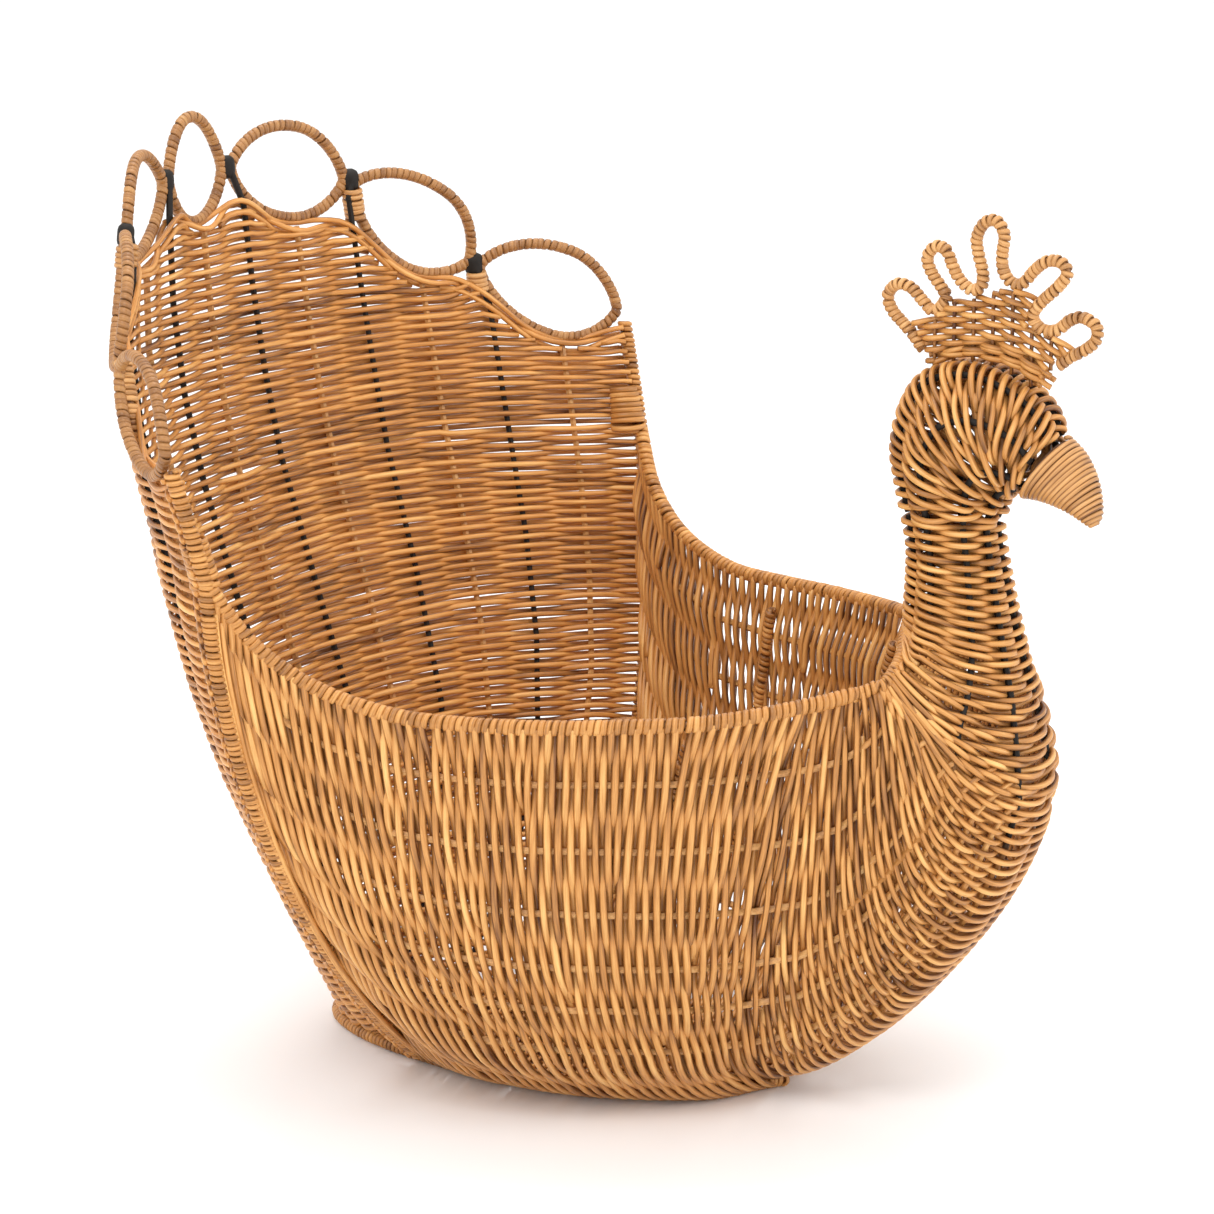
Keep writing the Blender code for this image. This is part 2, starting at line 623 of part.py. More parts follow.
# Side rods: six level canes inside each wall that the weavers go round.
rod_rows = np.array((rod_start_row, *wall_rows, *range(keel_row, rod_end_row + 1)))
for index, turn in enumerate(rod_shares):
    line = under(body, rod_rows, np.full(len(rod_rows), turn), stake_depth)
    tube(f"side_rod_left_{index + 1}", line, rod_radius, rod_sides, natural)
    tube(f"side_rod_right_{index + 1}", mirrored(line), rod_radius, rod_sides, natural)

# Ribs: two wrapped upright canes inside each wall, across the rods.
rib_depth = stake_depth + rod_radius + gap + rib_radius
rib_turns = side_turns[1:]
for name, row in rib_rows:
    line = under(body, np.full(len(rib_turns), row), rib_turns, rib_depth)
    line = line[line[:, 2] > base_thickness + 2 * rib_radius + gap]
    tube(f"rib_{name}_left", line, rib_radius, loop_sides, natural)
    tube(f"rib_{name}_right", mirrored(line), rib_radius, loop_sides, natural)

# Breast: woven across the keel from rim to rim, with the gussets beside the neck.
breast_turns = np.sort((0, *rod_shares, *neck_wire_shares[2:], *keel_turns))
breast_start = keel_row + joint_share
breast_rows = np.array((breast_start, *range(keel_row + 1, closed_row - 1), *breast_end_rows,
                        closed_row - joint_share))
row_net, turn_net = net(breast_rows, breast_turns)
for i, row in enumerate(breast_rows):
    closed = float(np.clip(spline(body_shares, row)[13], 0, 1))
    shares = np.linspace(-closed, breast_turns[1], curve_count)
    near = np.nonzero(distance(body(row, shares), rim_fine) < rim_radius + gap + slack)[0]
    turn_net[i, 0] = shares[min(near.max() + 1, curve_count - 1)] if len(near) else -closed
for j, turn in enumerate(turn_net[0]):
    start = clear_share(lambda share: body(breast_start + share * front_search, turn), hoop_fine,
                        hoop_radius + gap + slack)
    row_net[0, j] = breast_start + start * front_search
# More columns inside the gusset keep its curve.
gusset = turn_net[:, :1] + (turn_net[:, 1:2] - turn_net[:, :1]) * gusset_shares
turn_net = np.concatenate([gusset, turn_net[:, 1:]], axis=1)
row_net = np.concatenate([np.tile(row_net[:, :1], len(gusset_shares)), row_net[:, 1:]], axis=1)
left_outer = body(row_net, turn_net)
left_inner = under(body, row_net, turn_net, skin_thickness)
left_outer[:, -1, 1] = 0
left_inner[:, -1, 1] = 0
breast_outer = np.concatenate([left_outer, mirrored(left_outer[:, -2::-1])], axis=1)
breast_inner = np.concatenate([left_inner, mirrored(left_inner[:, -2::-1])], axis=1)
skin("breast_weave", breast_outer, breast_inner, False, natural)

# Neck and head: rings of cane woven round the black wires.
neck_rows = (closed_row + joint_share, *neck_middle_rows, neck_row - joint_share)
closed_skin("neck_weave", body, neck_rows, ring_turns, natural)
head_last = len(head_shares) - 1
closed_skin("head_weave", head, (joint_share, *head_rows, head_last - joint_share), ring_turns, natural)

# Neck wires: black wires inside the weave, the front ones from low in the breast.
for index, (turn, start) in enumerate(zip(neck_wire_shares, neck_wire_start_rows)):
    rows = np.array((start, *range(math.ceil(start), neck_row), neck_row - joint_share))
    line = under(body, rows, np.full(len(rows), turn), wire_depth)
    tube(f"neck_wire_left_{index + 1}", line, wire_radius, rod_sides, iron)
    tube(f"neck_wire_right_{index + 1}", mirrored(line), wire_radius, rod_sides, iron)

# Beak: a plain core and one unbroken length of split cane wound round it.
beak_last = len(beak_shares) - 1
core_depth = 2 * beak_wrap_radius + gap + 2 * slack
core_rows = np.linspace(joint_share, beak_last, 2 * beak_last + 1)
row_net, angle_net = net(core_rows, np.linspace(0, 2 * math.pi, beak_turn_points, endpoint=False))
loft("beak_core", beak(row_net, angle_net, core_depth), natural)

table_rows = np.linspace(0, beak_last, beak_table_steps * beak_last)
lower_run = beak(table_rows, math.pi, 0)
lower_length = np.concatenate([[0], np.cumsum(np.linalg.norm(np.diff(lower_run, axis=0), axis=1))])
turn_count = beak_turns * beak_turn_points
wound = np.linspace(beak_wrap_radius, lower_length[-1] - beak_wrap_radius, turn_count + 1)
wrap_rows = np.interp(wound, lower_length, table_rows)
wrap_angles = np.linspace(0, 2 * math.pi * beak_turns, turn_count + 1)
wrap_line = beak(wrap_rows, wrap_angles, beak_wrap_radius)
tube("beak_wrap", wrap_line, beak_wrap_radius, rod_sides, pale)
least = np.inf
for i in range(len(wrap_line) - beak_turn_points):
    later = wrap_line[i + beak_turn_points // 2:]
    least = min(least, np.linalg.norm(later - wrap_line[i], axis=1).min())
print(f"beak winding: least gap to itself {(least - 2 * beak_wrap_radius) * 1000:.2f} mm")

# Crest: a flat woven fan on the head and one wire bent into five loops above it.
crest_foot = under(head, crest_foot_rows, np.full(len(crest_foot_rows), -1.0), -(gap + slack))
fan = np.concatenate([crest_places(crest_edge_shares), crest_foot * (1, 0, 1)])
half_fan = np.array((0, crest_thickness / 2, 0))
prism("crest_panel", fan - half_fan, 2 * half_fan, natural)

wire_places = np.linspace(0, len(crest_wire_shares) - 1, crest_wire_steps)
tube("crest_wire", crest_places(spline(crest_wire_shares, wire_places)), crest_wire_radius, rod_sides, pale)
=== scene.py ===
import math

import bpy
import numpy as np
from mathutils import Matrix, Vector


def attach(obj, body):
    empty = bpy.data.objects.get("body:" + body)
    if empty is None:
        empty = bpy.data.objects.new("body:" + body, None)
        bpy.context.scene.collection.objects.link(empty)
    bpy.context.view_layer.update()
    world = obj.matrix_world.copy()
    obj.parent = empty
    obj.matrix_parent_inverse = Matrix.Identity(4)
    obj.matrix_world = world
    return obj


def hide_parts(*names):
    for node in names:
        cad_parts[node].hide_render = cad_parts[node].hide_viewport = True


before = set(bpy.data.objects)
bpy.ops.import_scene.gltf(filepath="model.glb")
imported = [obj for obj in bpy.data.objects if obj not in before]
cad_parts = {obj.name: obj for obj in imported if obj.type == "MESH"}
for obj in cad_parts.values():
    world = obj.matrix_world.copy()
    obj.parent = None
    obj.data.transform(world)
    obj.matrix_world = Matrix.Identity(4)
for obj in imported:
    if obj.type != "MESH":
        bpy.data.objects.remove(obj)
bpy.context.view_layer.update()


# Side rods: six level canes in each side of the bowl that the weavers go round. They
# are thin round cane, bent from the tail seam round into the breast, left unwrapped.
both_sides = (("left", 1), ("right", -1))
fibre_share = 0.75
blotch_share = 0.85
tone_share = 0.62
tone_base = -0.62
plain_tone = 0.3


def added(tree, kind, **values):
    """A new shader node, with the named inputs set."""
    node = tree.nodes.new("ShaderNode" + kind)
    for name, value in values.items():
        node.inputs[name.replace("_", " ")].default_value = value
    return node


def scaled(tree, source, factor, extra):
    """Source times a factor, plus a number or another node's output."""
    node = added(tree, "Math")
    node.operation = "MULTIPLY_ADD"
    node.inputs[1].default_value = factor
    tree.links.new(source, node.inputs[0])
    if isinstance(extra, float):
        node.inputs[2].default_value = extra
    else:
        tree.links.new(extra, node.inputs[2])
    return node.outputs[0]


def stained(name, deep, mid, pale, roughness, carried):
    """Satin cane. carried means that the mesh carries its own grain and tone, and that tone also holds
    painted shade and highlights.
    """
    material = bpy.data.materials.new(name)
    material.use_nodes = True
    tree = material.node_tree
    link = tree.links.new
    shader = tree.nodes["Principled BSDF"]
    if carried:
        place = added(tree, "Attribute")
        place.attribute_name = "grain"
        where = place.outputs["Vector"]
        scales = ((90, 1500, 1500), (32, 160, 160))
    else:
        where = added(tree, "TexCoord").outputs["Object"]
        scales = ((700, 700, 700), (90, 90, 90))
    noises = []
    for scale, detail in zip(scales, (4, 3)):
        stretch = added(tree, "Mapping", Scale=scale)
        noise = added(tree, "TexNoise", Scale=1, Detail=detail)
        link(where, stretch.inputs["Vector"])
        link(stretch.outputs["Vector"], noise.inputs["Vector"])
        noises.append(noise.outputs["Fac"])
    fibre, blotch = noises
    streaks = scaled(tree, fibre, fibre_share, scaled(tree, blotch, blotch_share, tone_base))
    if carried:
        tone = added(tree, "Attribute")
        tone.attribute_name = "tone"
        mixed = scaled(tree, tone.outputs["Fac"], tone_share, streaks)
    else:
        mixed = scaled(tree, streaks, 1, plain_tone)
    ramp = added(tree, "ValToRGB")
    stops = ramp.color_ramp.elements
    stops[0].position = 0.05
    stops[0].color = (*deep, 1)
    stops[1].position = 0.95
    stops[1].color = (*pale, 1)
    stops.new(0.5).color = (*mid, 1)
    gloss = added(tree, "MapRange", To_Min=roughness - 0.1, To_Max=roughness + 0.12)
    bump = added(tree, "Bump", Strength=0.35, Distance=0.0002)
    link(mixed, ramp.inputs["Fac"])
    link(ramp.outputs["Color"], shader.inputs["Base Color"])
    link(blotch, gloss.inputs["Value"])
    link(gloss.outputs["Result"], shader.inputs["Roughness"])
    link(fibre, bump.inputs["Height"])
    link(bump.outputs["Normal"], shader.inputs["Normal"])
    return material


def coated(material, *names):
    """Gives solids of the frame the material that they show."""
    for name in names:
        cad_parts[name].data.materials.clear()
        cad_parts[name].data.materials.append(material)


rod_cane = stained("rod cane", (0.22, 0.08, 0.021), (0.62, 0.31, 0.095), (0.86, 0.54, 0.22), 0.48, False)
coated(rod_cane, *(f"side_rod_{side}_{number}" for side, flip in both_sides for number in range(1, 7)))


# Base hoop: an oval of thick cane that the whole basket stands on. The weavers end
# round it, so it shows as a close winding of split cane.
body_reach = 0.200
body_half_width = 0.181
body_height = 0.200
base_half_width = 0.055
hoop_radius = 0.003

# Rows along the body, from the tail seam round the breast and up the neck:
# rim x, rim z, rim half width, lower x, lower half width, lower z,
# bulge at the rim, reach of the upper pull, bulge below, reach of the lower pull,
# shift of the lower pull, back x, back z, how much of the back is closed.
body_shares = np.array([
    (-0.29, 1.2, 1, -0.205, 0.8727, 0, 0.02, 0.38, 0.5, 0.24, 0.095, -0.29, 1.2, 0),
    (-0.22, 1.07, 0.9337, -0.14, 0.9273, 0, 0.02, 0.38, 0.52, 0.2, 0.06, -0.22, 1.07, 0),
    (-0.11, 0.98, 0.8674, -0.07, 0.9818, 0, 0.02, 0.38, 0.55, 0.14, 0.03, -0.11, 0.98, 0),
    (0.04, 0.93, 0.8066, 0, 1, 0, 0.02, 0.4, 0.58, 0.1, 0.01, 0.04, 0.93, 0),
    (0.2, 0.9225, 0.7624, 0.09, 0.9818, 0, 0.02, 0.42, 0.6, 0.08, 0, 0.2, 0.9225, 0),
    (0.35, 0.925, 0.7127, 0.18, 0.9455, 0, 0.02, 0.43, 0.62, 0.06, 0, 0.35, 0.925, 0),
    (0.49, 0.93, 0.6409, 0.275, 0.8636, 0, 0.03, 0.44, 0.64, 0.05, 0, 0.49, 0.93, 0),
    (0.61, 0.935, 0.5635, 0.37, 0.7273, 0, 0.04, 0.46, 0.66, 0.05, 0, 0.61, 0.935, 0),
    (0.705, 0.9475, 0.4862, 0.47, 0.4909, 0, 0.05, 0.48, 0.7, 0.04, 0, 0.705, 0.9475, 0),
    (0.775, 0.96, 0.4144, 0.555, 0, 0, 0.08, 0.5, 0.72, 0.02, 0, 0.775, 0.96, 0),
    (0.815, 0.9675, 0.3702, 0.67, 0, 0.045, 0.1, 0.52, 0.6, 0, 0, 0.815, 0.9675, 0),
    (0.84, 0.975, 0.3425, 0.805, 0, 0.145, 0.12, 0.55, 0.58, 0, 0, 0.84, 0.975, 0),
    (0.855, 0.9775, 0.326, 0.94, 0, 0.29, 0.1, 0.55, 0.56, 0, 0, 0.855, 0.9775, 0),
    (0.865, 0.98, 0.3149, 1.05, 0, 0.44, 0.06, 0.55, 0.56, 0, 0, 0.865, 0.98, 0),
    (0.875, 0.985, 0.3066, 1.1225, 0, 0.585, 0.03, 0.55, 0.56, 0, 0, 0.875, 0.985, 0),
    (0.89, 0.995, 0.2928, 1.155, 0, 0.715, 0, 0.55, 0.56, 0, 0, 0.88, 0.995, 0),
    (0.91, 1.015, 0.2597, 1.14, 0, 0.82, 0, 0.55, 0.56, 0, 0, 0.87, 1.02, 0.28),
    (0.94, 1.04, 0.1989, 1.1175, 0, 0.92, 0, 0.55, 0.56, 0, 0, 0.845, 1.05, 0.65),
    (0.9575, 1.075, 0.1575, 1.09, 0, 1.015, 0, 0.55, 0.56, 0, 0, 0.8325, 1.09, 1),
    (0.95, 1.145, 0.1326, 1.0675, 0, 1.11, 0, 0.55, 0.56, 0, 0, 0.8325, 1.16, 1),
    (0.94, 1.225, 0.1188, 1.0475, 0, 1.205, 0, 0.55, 0.56, 0, 0, 0.8315, 1.23, 1),
    (0.9275, 1.29, 0.116, 1.0375, 0, 1.275, 0, 0.55, 0.56, 0, 0, 0.8175, 1.295, 1),
])
keel_row = 9


def spline(table, place):
    """A smooth run through the rows of a table, one row to each whole number."""
    place = np.asarray(place, float)
    last = len(table) - 1
    row = np.clip(np.floor(place).astype(int), 0, last - 1)
    share = (place - row)[..., None]
    here = table[row]
    after = table[row + 1]
    before = np.where((row == 0)[..., None], 2 * here - after, table[np.maximum(row - 1, 0)])
    beyond = np.where((row == last - 1)[..., None], 2 * after - here, table[np.minimum(row + 2, last)])
    curve = 2 * here + (after - before) * share
    curve += (2 * before - 5 * here + 4 * after - beyond) * share**2
    curve += (3 * here - before - 3 * after + beyond) * share**3
    return curve / 2


def bezier(start, first, second, end, share):
    share = share[..., None]
    rest = 1 - share
    return rest**3 * start + 3 * rest**2 * share * first + 3 * rest * share**2 * second + share**3 * end


def body(row, turn):
    """Outer face of the left half. turn is 0 at the rim, 1 at hoop or keel and -1 at the back of the neck."""
    row, turn = np.broadcast_arrays(np.asarray(row, float), np.asarray(turn, float))
    shares = spline(body_shares, row)
    rim = np.stack([
        shares[..., 0] * body_reach,
        shares[..., 2] * body_half_width,
        shares[..., 1] * body_height,
    ], -1)
    keel = np.stack([
        shares[..., 3] * body_reach,
        shares[..., 4] * base_half_width,
        np.maximum(shares[..., 5], 0) * body_height + hoop_radius,
    ], -1)
    back = np.stack([
        shares[..., 11] * body_reach,
        np.zeros_like(turn),
        shares[..., 12] * body_height,
    ], -1)
    fall = (keel - rim) * (1, 0, 1)
    bulge = (shares[..., 6] * rim[..., 1])[..., None] * (0, 1, 0)
    upper = rim + bulge + fall * shares[..., 7, None]
    spread = (shares[..., 8] * rim[..., 1])[..., None] * (0, 1, 0)
    shift = (shares[..., 10] * body_reach)[..., None] * (1, 0, 0)
    lower = keel + spread + shift - fall * shares[..., 9, None]
    front = bezier(rim, upper, lower, keel, np.clip(turn, 0, 1))
    middle = rim * (1, 0, 1)
    pull = 4 / 3 * (math.sqrt(2) - 1)
    rear = bezier(rim, rim + (back - middle) * pull, back + (rim - middle) * pull, back, np.clip(-turn, 0, 1))
    return np.where((turn >= 0)[..., None], front, rear)


# Rear of the tail and its side edges, by height number: 0 is the floor, 1 the top
# of the seam and 2 the tail's full height.
tail_reach = 0.1845
tail_rise = 0.160
tail_rear_shares = np.array([
    (0, -0.5935), (0.2083, -0.607), (0.375, -0.629), (0.479, -0.664), (0.592, -0.721),
    (0.758, -0.797), (0.979, -0.894), (1.3, -0.954), (1.5625, -0.981), (1.825, -0.9946),
    (2, -1),
])
tail_edge_shares = np.array([
    (1, -0.29, 1), (1.156, -0.32, 1.0166), (1.3175, -0.3525, 1.033), (1.473, -0.365, 1.011),
    (1.625, -0.35, 0.972), (1.75, -0.33, 0.928), (1.875, -0.315, 0.895), (2, -0.3, 0.865),
])
tail_half_turn = math.radians(62)


def tail_z(level):
    seam_top = body_shares[0, 1] * body_height
    return np.where(level < 1, level * seam_top, seam_top + (level - 1) * tail_rise)


def tail(level, side):
    """Outer face of the tail. level is the height number and side runs from -1 to 1."""
    level, side = np.broadcast_arrays(np.asarray(level, float), np.asarray(side, float))
    z = tail_z(level)
    rear_row = np.interp(level, tail_rear_shares[:, 0], np.arange(len(tail_rear_shares)))
    rear_x = spline(tail_rear_shares, rear_row)[..., 1] * tail_reach
    edge_row = np.interp(level, tail_edge_shares[:, 0], np.arange(len(tail_edge_shares)))
    edge = spline(tail_edge_shares, edge_row)
    seam = body(0, np.linspace(1, 0, 400))
    seam_x = np.interp(z, seam[:, 2], seam[:, 0])
    seam_y = np.interp(z, seam[:, 2], seam[:, 1])
    edge_x = np.where(level > 1, edge[..., 1] * body_reach, seam_x)
    edge_y = np.where(level > 1, edge[..., 2] * body_half_width, seam_y)
    depth = (edge_x - rear_x) / (1 - math.cos(tail_half_turn))
    width = edge_y / math.sin(tail_half_turn)
    return np.stack([
        rear_x + depth * (1 - np.cos(side * tail_half_turn)),
        width * np.sin(side * tail_half_turn),
        z,
    ], -1)


def facing(face, first, second):
    """Unit directions straight out of a face."""
    step = 0.0002
    along = face(first + step, second) - face(first - step, second)
    across = face(first, second + step) - face(first, second - step)
    out = np.cross(along, across)
    return out / np.linalg.norm(out, axis=-1, keepdims=True)


def run_along(line):
    """Length from the start of a line to each of its points."""
    return np.concatenate([[0], np.cumsum(np.linalg.norm(np.diff(line, axis=0), axis=1))])


def placed(place, run, values):
    """Values between the points of a line, by length along it."""
    return np.stack([np.interp(place, run, values[:, k]) for k in range(3)], -1)


chance = np.random.default_rng(29)
# Painted shade: each cane's tone is darkened along its two sides, where it meets its neighbours.
painted_crevice_shade = 0.3
# Painted shade and highlight: where a cane lies under its neighbours its outer face is darkened, and where it
# lies over them it is lightened.
weave_shade_highlight = 0.22


def wander(count, size, every=9):
    """A smooth uneven run, as a hand leaves it."""
    knots = chance.normal(0, size, (count // every + 3, 1))
    return spline(knots, np.linspace(0, len(knots) - 1, count))[:, 0]


def strand(line, up, wide, thick, tone, sides=6, closed=False, groove=painted_crevice_shade, wave=0.0):
    """One cane along a line: its points, their grain and tone, and how they join. The tone has painted shade
    along the cane's two sides, where it meets its neighbours.

    wave is 1 where the cane lies under its neighbours and -1 where it lies over them. It gives the cane
    painted shade on its outer face and a painted highlight on its inner face where it lies under, and the
    reverse where it lies over.
    """
    line = np.asarray(line, float)
    up = np.broadcast_to(up, line.shape)
    if closed:
        ahead = np.roll(line, -1, axis=0) - np.roll(line, 1, axis=0)
    else:
        ahead = np.gradient(line, axis=0)
    across = np.cross(ahead, up)
    across /= np.linalg.norm(across, axis=1, keepdims=True)
    over = np.cross(across, ahead)
    over /= np.linalg.norm(over, axis=1, keepdims=True)
    angle = np.arange(sides) / sides * 2 * math.pi
    count = len(line)
    wide, thick, tone, wave = (np.broadcast_to(part, count)[:, None] for part in (wide, thick, tone, wave))
    out_wide = wide * np.cos(angle)
    out_thick = thick * np.sin(angle)
    spots = line[:, None] + across[:, None] * out_wide[..., None] + over[:, None] * out_thick[..., None]
    start = chance.uniform(0, 3, 3)
    grain = np.stack([
        np.broadcast_to(run_along(line)[:, None], out_wide.shape) + start[0],
        out_wide + start[1],
        out_thick + start[2],
    ], -1)
    crevice_shading = np.clip(np.abs(np.cos(angle)) * 2 - 1, 0, 1) * groove
    tones = tone - crevice_shading - wave * np.sin(angle) * weave_shade_highlight
    ring = np.arange(sides)
    following = (ring + 1) % sides
    steps = np.arange(count if closed else count - 1)[:, None]
    after = (steps + 1) % count
    quads = np.stack([
        steps * sides + ring,
        after * sides + ring,
        after * sides + following,
        steps * sides + following,
    ], -1).reshape(-1, 4)
    caps = np.zeros((0, sides), int)
    if not closed:
        caps = np.stack([ring, (count - 1) * sides + ring[::-1]])
    return spots.reshape(-1, 3), grain.reshape(-1, 3), tones.reshape(-1), quads, caps


def flat(parts):
    return np.concatenate(parts).astype(np.float32).reshape(-1)


def made(name, strands, material, slot, *nodes):
    """One piece of the basket from its strands."""
    spots, grains, tones, quads, caps = zip(*strands)
    offsets = np.cumsum([0] + [len(part) for part in spots[:-1]])
    faces = [part + offset for part, offset in zip(quads, offsets)]
    faces += [part + offset for part, offset in zip(caps, offsets) if len(part)]
    corners = np.concatenate([face.reshape(-1) for face in faces])
    sizes = np.concatenate([np.full(len(face), face.shape[1]) for face in faces])
    mesh = bpy.data.meshes.new(name)
    mesh.vertices.add(sum(len(part) for part in spots))
    mesh.vertices.foreach_set("co", flat(spots))
    mesh.loops.add(len(corners))
    mesh.loops.foreach_set("vertex_index", corners.astype(np.int32))
    mesh.polygons.add(len(sizes))
    mesh.polygons.foreach_set("loop_start", (np.cumsum(sizes) - sizes).astype(np.int32))
    mesh.update(calc_edges=True)
    mesh.validate()
    mesh.attributes.new("grain", "FLOAT_VECTOR", "POINT").data.foreach_set("vector", flat(grains))
    mesh.attributes.new("tone", "FLOAT", "POINT").data.foreach_set("value", flat(tones))
    mesh.materials.append(material)
    mesh.shade_smooth()
    piece = bpy.data.objects.new(name, mesh)
    bpy.context.collection.objects.link(piece)
    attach(piece, "root")
    if nodes:
        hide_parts(*nodes)


winding_tone = 0.44
winding_tone_spread = 0.1
winding_pitch_spread = 0.1
winding_rise_spread = 0.06
# The cores get a dark tone as painted shade: they show only in the shade between the strip's turns.
shaded_core_tone = 0.1


def winding(line, up, core, pitch, wide, thick, closed=False, around=14, groove=painted_crevice_shade):
    """A core and the strip of split cane wound round it as one helix."""
    line = np.asarray(line, float)
    up = np.broadcast_to(up, line.shape)
    if closed:
        ways = np.roll(line, -1, axis=0) - np.roll(line, 1, axis=0)
        ends, ups, ways = (np.concatenate([part, part[:1]]) for part in (line, up, ways))
    else:
        ends, ups, ways = line, up, np.gradient(line, axis=0)
    run = run_along(ends)
    turns = max(2, round(run[-1] / pitch))
    count = turns * around + 1
    steps = np.arange(count)
    fade = np.minimum(1, np.minimum(steps, steps[::-1]) / around)
    place = np.linspace(0, run[-1], count) + wander(count, pitch * winding_pitch_spread, around) * fade
    ahead = placed(place, run, ways)
    across = np.cross(ahead, placed(place, run, ups))
    across /= np.linalg.norm(across, axis=1, keepdims=True)
    over = np.cross(across, ahead)
    over /= np.linalg.norm(over, axis=1, keepdims=True)
    angle = np.linspace(0, 2 * math.pi * turns, count)[:, None]
    out = across * np.cos(angle) + over * np.sin(angle)
    rise = 1 + wander(count, winding_rise_spread, around) * fade
    strip = placed(place, run, ends) + out * (core + thick * rise)[:, None]
    shade = np.clip(winding_tone + wander(count, winding_tone_spread, around), 0, 1)
    if closed:
        strip, out, shade = strip[:-1], out[:-1], shade[:-1]
    return [
        strand(line, up, core, core, shaded_core_tone, sides=8, closed=closed),
        strand(strip, out, wide, thick, shade, closed=closed, groove=groove),
    ]


cane = stained("cane", (0.12, 0.038, 0.009), (0.57, 0.25, 0.06), (0.87, 0.51, 0.175), 0.42, True)
hoop_pitch = 0.0026
hoop_strip = 0.0013
hoop_strip_thick = 0.0008
hoop_left = body(np.linspace(0, keel_row, 60), 1)
hoop_sides = np.linspace(-1, 1, 40)[1:-1]
hoop_rear = tail(hoop_radius / tail_z(np.array(1.0)), hoop_sides)
hoop_line = np.concatenate([hoop_rear, hoop_left, hoop_left[-2::-1] * (1, -1, 1)])
hoop_core = hoop_radius - 2 * hoop_strip_thick
hoop = winding(hoop_line, (0, 0, 1), hoop_core, hoop_pitch, hoop_strip, hoop_strip_thick, closed=True)
made("hoop_winding", hoop, cane, "natural_cane", "base_hoop")


# Base floor: the flat woven bottom inside the hoop. Round canes lie lengthwise and
# the weavers go across them, over and under in turn, and end at the hoop.
floor_cane = 0.0009
floor_weaver = 0.00102
floor_middle = 0.0028
floor_pitch = 0.0021
floor_step = 0.0008
lengthwise_count = 9
x_least = hoop_line[:, 0].min() + hoop_radius
x_most = hoop_line[:, 0].max() - hoop_radius
left_edge = hoop_line[hoop_line[:, 1] >= 0]
left_edge = left_edge[np.argsort(left_edge[:, 0])]
lengthwise_y = np.linspace(-1, 1, lengthwise_count + 2)[1:-1] * (base_half_width - hoop_radius)
lengthwise_room = lengthwise_y[1] - lengthwise_y[0]
floor = []
for y in lengthwise_y:
    inside = left_edge[left_edge[:, 1] > abs(y), 0]
    x = np.linspace(inside.min(), inside.max(), 50)
    line = np.stack([x, np.full(len(x), y), np.full(len(x), floor_middle)], -1)
    floor.append(strand(line, (0, 0, 1), floor_cane, floor_cane, chance.uniform(0.2, 0.7)))
for number, x in enumerate(np.arange(x_least, x_most, floor_pitch)):
    half = np.interp(x, left_edge[:, 0], left_edge[:, 1])
    y = np.linspace(-half, half, max(8, int(half / floor_step)))
    wave = np.cos(math.pi * (y / lengthwise_room + number)) * 2 * floor_cane
    line = np.stack([np.full(len(y), x), y, floor_middle + wave], -1)
    floor.append(strand(line, (0, 0, 1), floor_weaver, floor_cane, chance.uniform(0.1, 0.8)))
made("floor_weave", floor, cane, "natural_cane", "base_panel")


# Tail uprights: seven thin canes and six black iron wires that stand in the tail by
# turns, from the hoop up to the loops. The level weavers go round them.
iron = bpy.data.materials.new("black iron")
iron.use_nodes = True
iron_tree = iron.node_tree
iron_link = iron_tree.links.new
iron_shader = iron_tree.nodes["Principled BSDF"]
iron_shader.inputs["Specular IOR Level"].default_value = 0.25
iron_noise = added(iron_tree, "TexNoise", Scale=260)
iron_ramp = added(iron_tree, "ValToRGB")
iron_ramp.color_ramp.elements[0].color = (0.006, 0.005, 0.004, 1)
iron_ramp.color_ramp.elements[1].color = (0.028, 0.022, 0.018, 1)
iron_gloss = added(iron_tree, "MapRange", To_Min=0.5, To_Max=0.75)
iron_link(added(iron_tree, "TexCoord").outputs["Object"], iron_noise.inputs["Vector"])
iron_link(iron_noise.outputs["Fac"], iron_ramp.inputs["Fac"])
iron_link(iron_ramp.outputs["Color"], iron_shader.inputs["Base Color"])
iron_link(iron_noise.outputs["Fac"], iron_gloss.inputs["Value"])
iron_link(iron_gloss.outputs["Result"], iron_shader.inputs["Roughness"])
coated(rod_cane, *(f"tail_stake_{number}" for number in range(1, 8)))
coated(iron, *(f"tail_wire_{number}" for number in range(1, 7)))


# Tail loops: seven eyes of iron wire wound closely with pale cane peel. They stand
# along the top of the tail, and each is tied to the next where they meet.
loop_radius = 0.00265
loop_gap = 0.0003
loop_count = 7
loop_meets = np.array([
    (-1, 1.3175), (-0.70, 1.473), (-0.445, 1.746), (-0.118, 1.8256),
    (0.118, 1.8256), (0.445, 1.746), (0.70, 1.473), (1, 1.3175),
])
loop_bulge_shares = np.array([
    (0.131, 0.134, -0.15), (0.1375, 0.125, -0.15), (0.1375, 0.125, -0.12), (0.156, 0.131, 0),
    (0.1375, 0.125, 0.12), (0.1375, 0.125, 0.15), (0.131, 0.134, 0.15),
])
loop_corner_power = 2.1
loop_side_power = 0.72


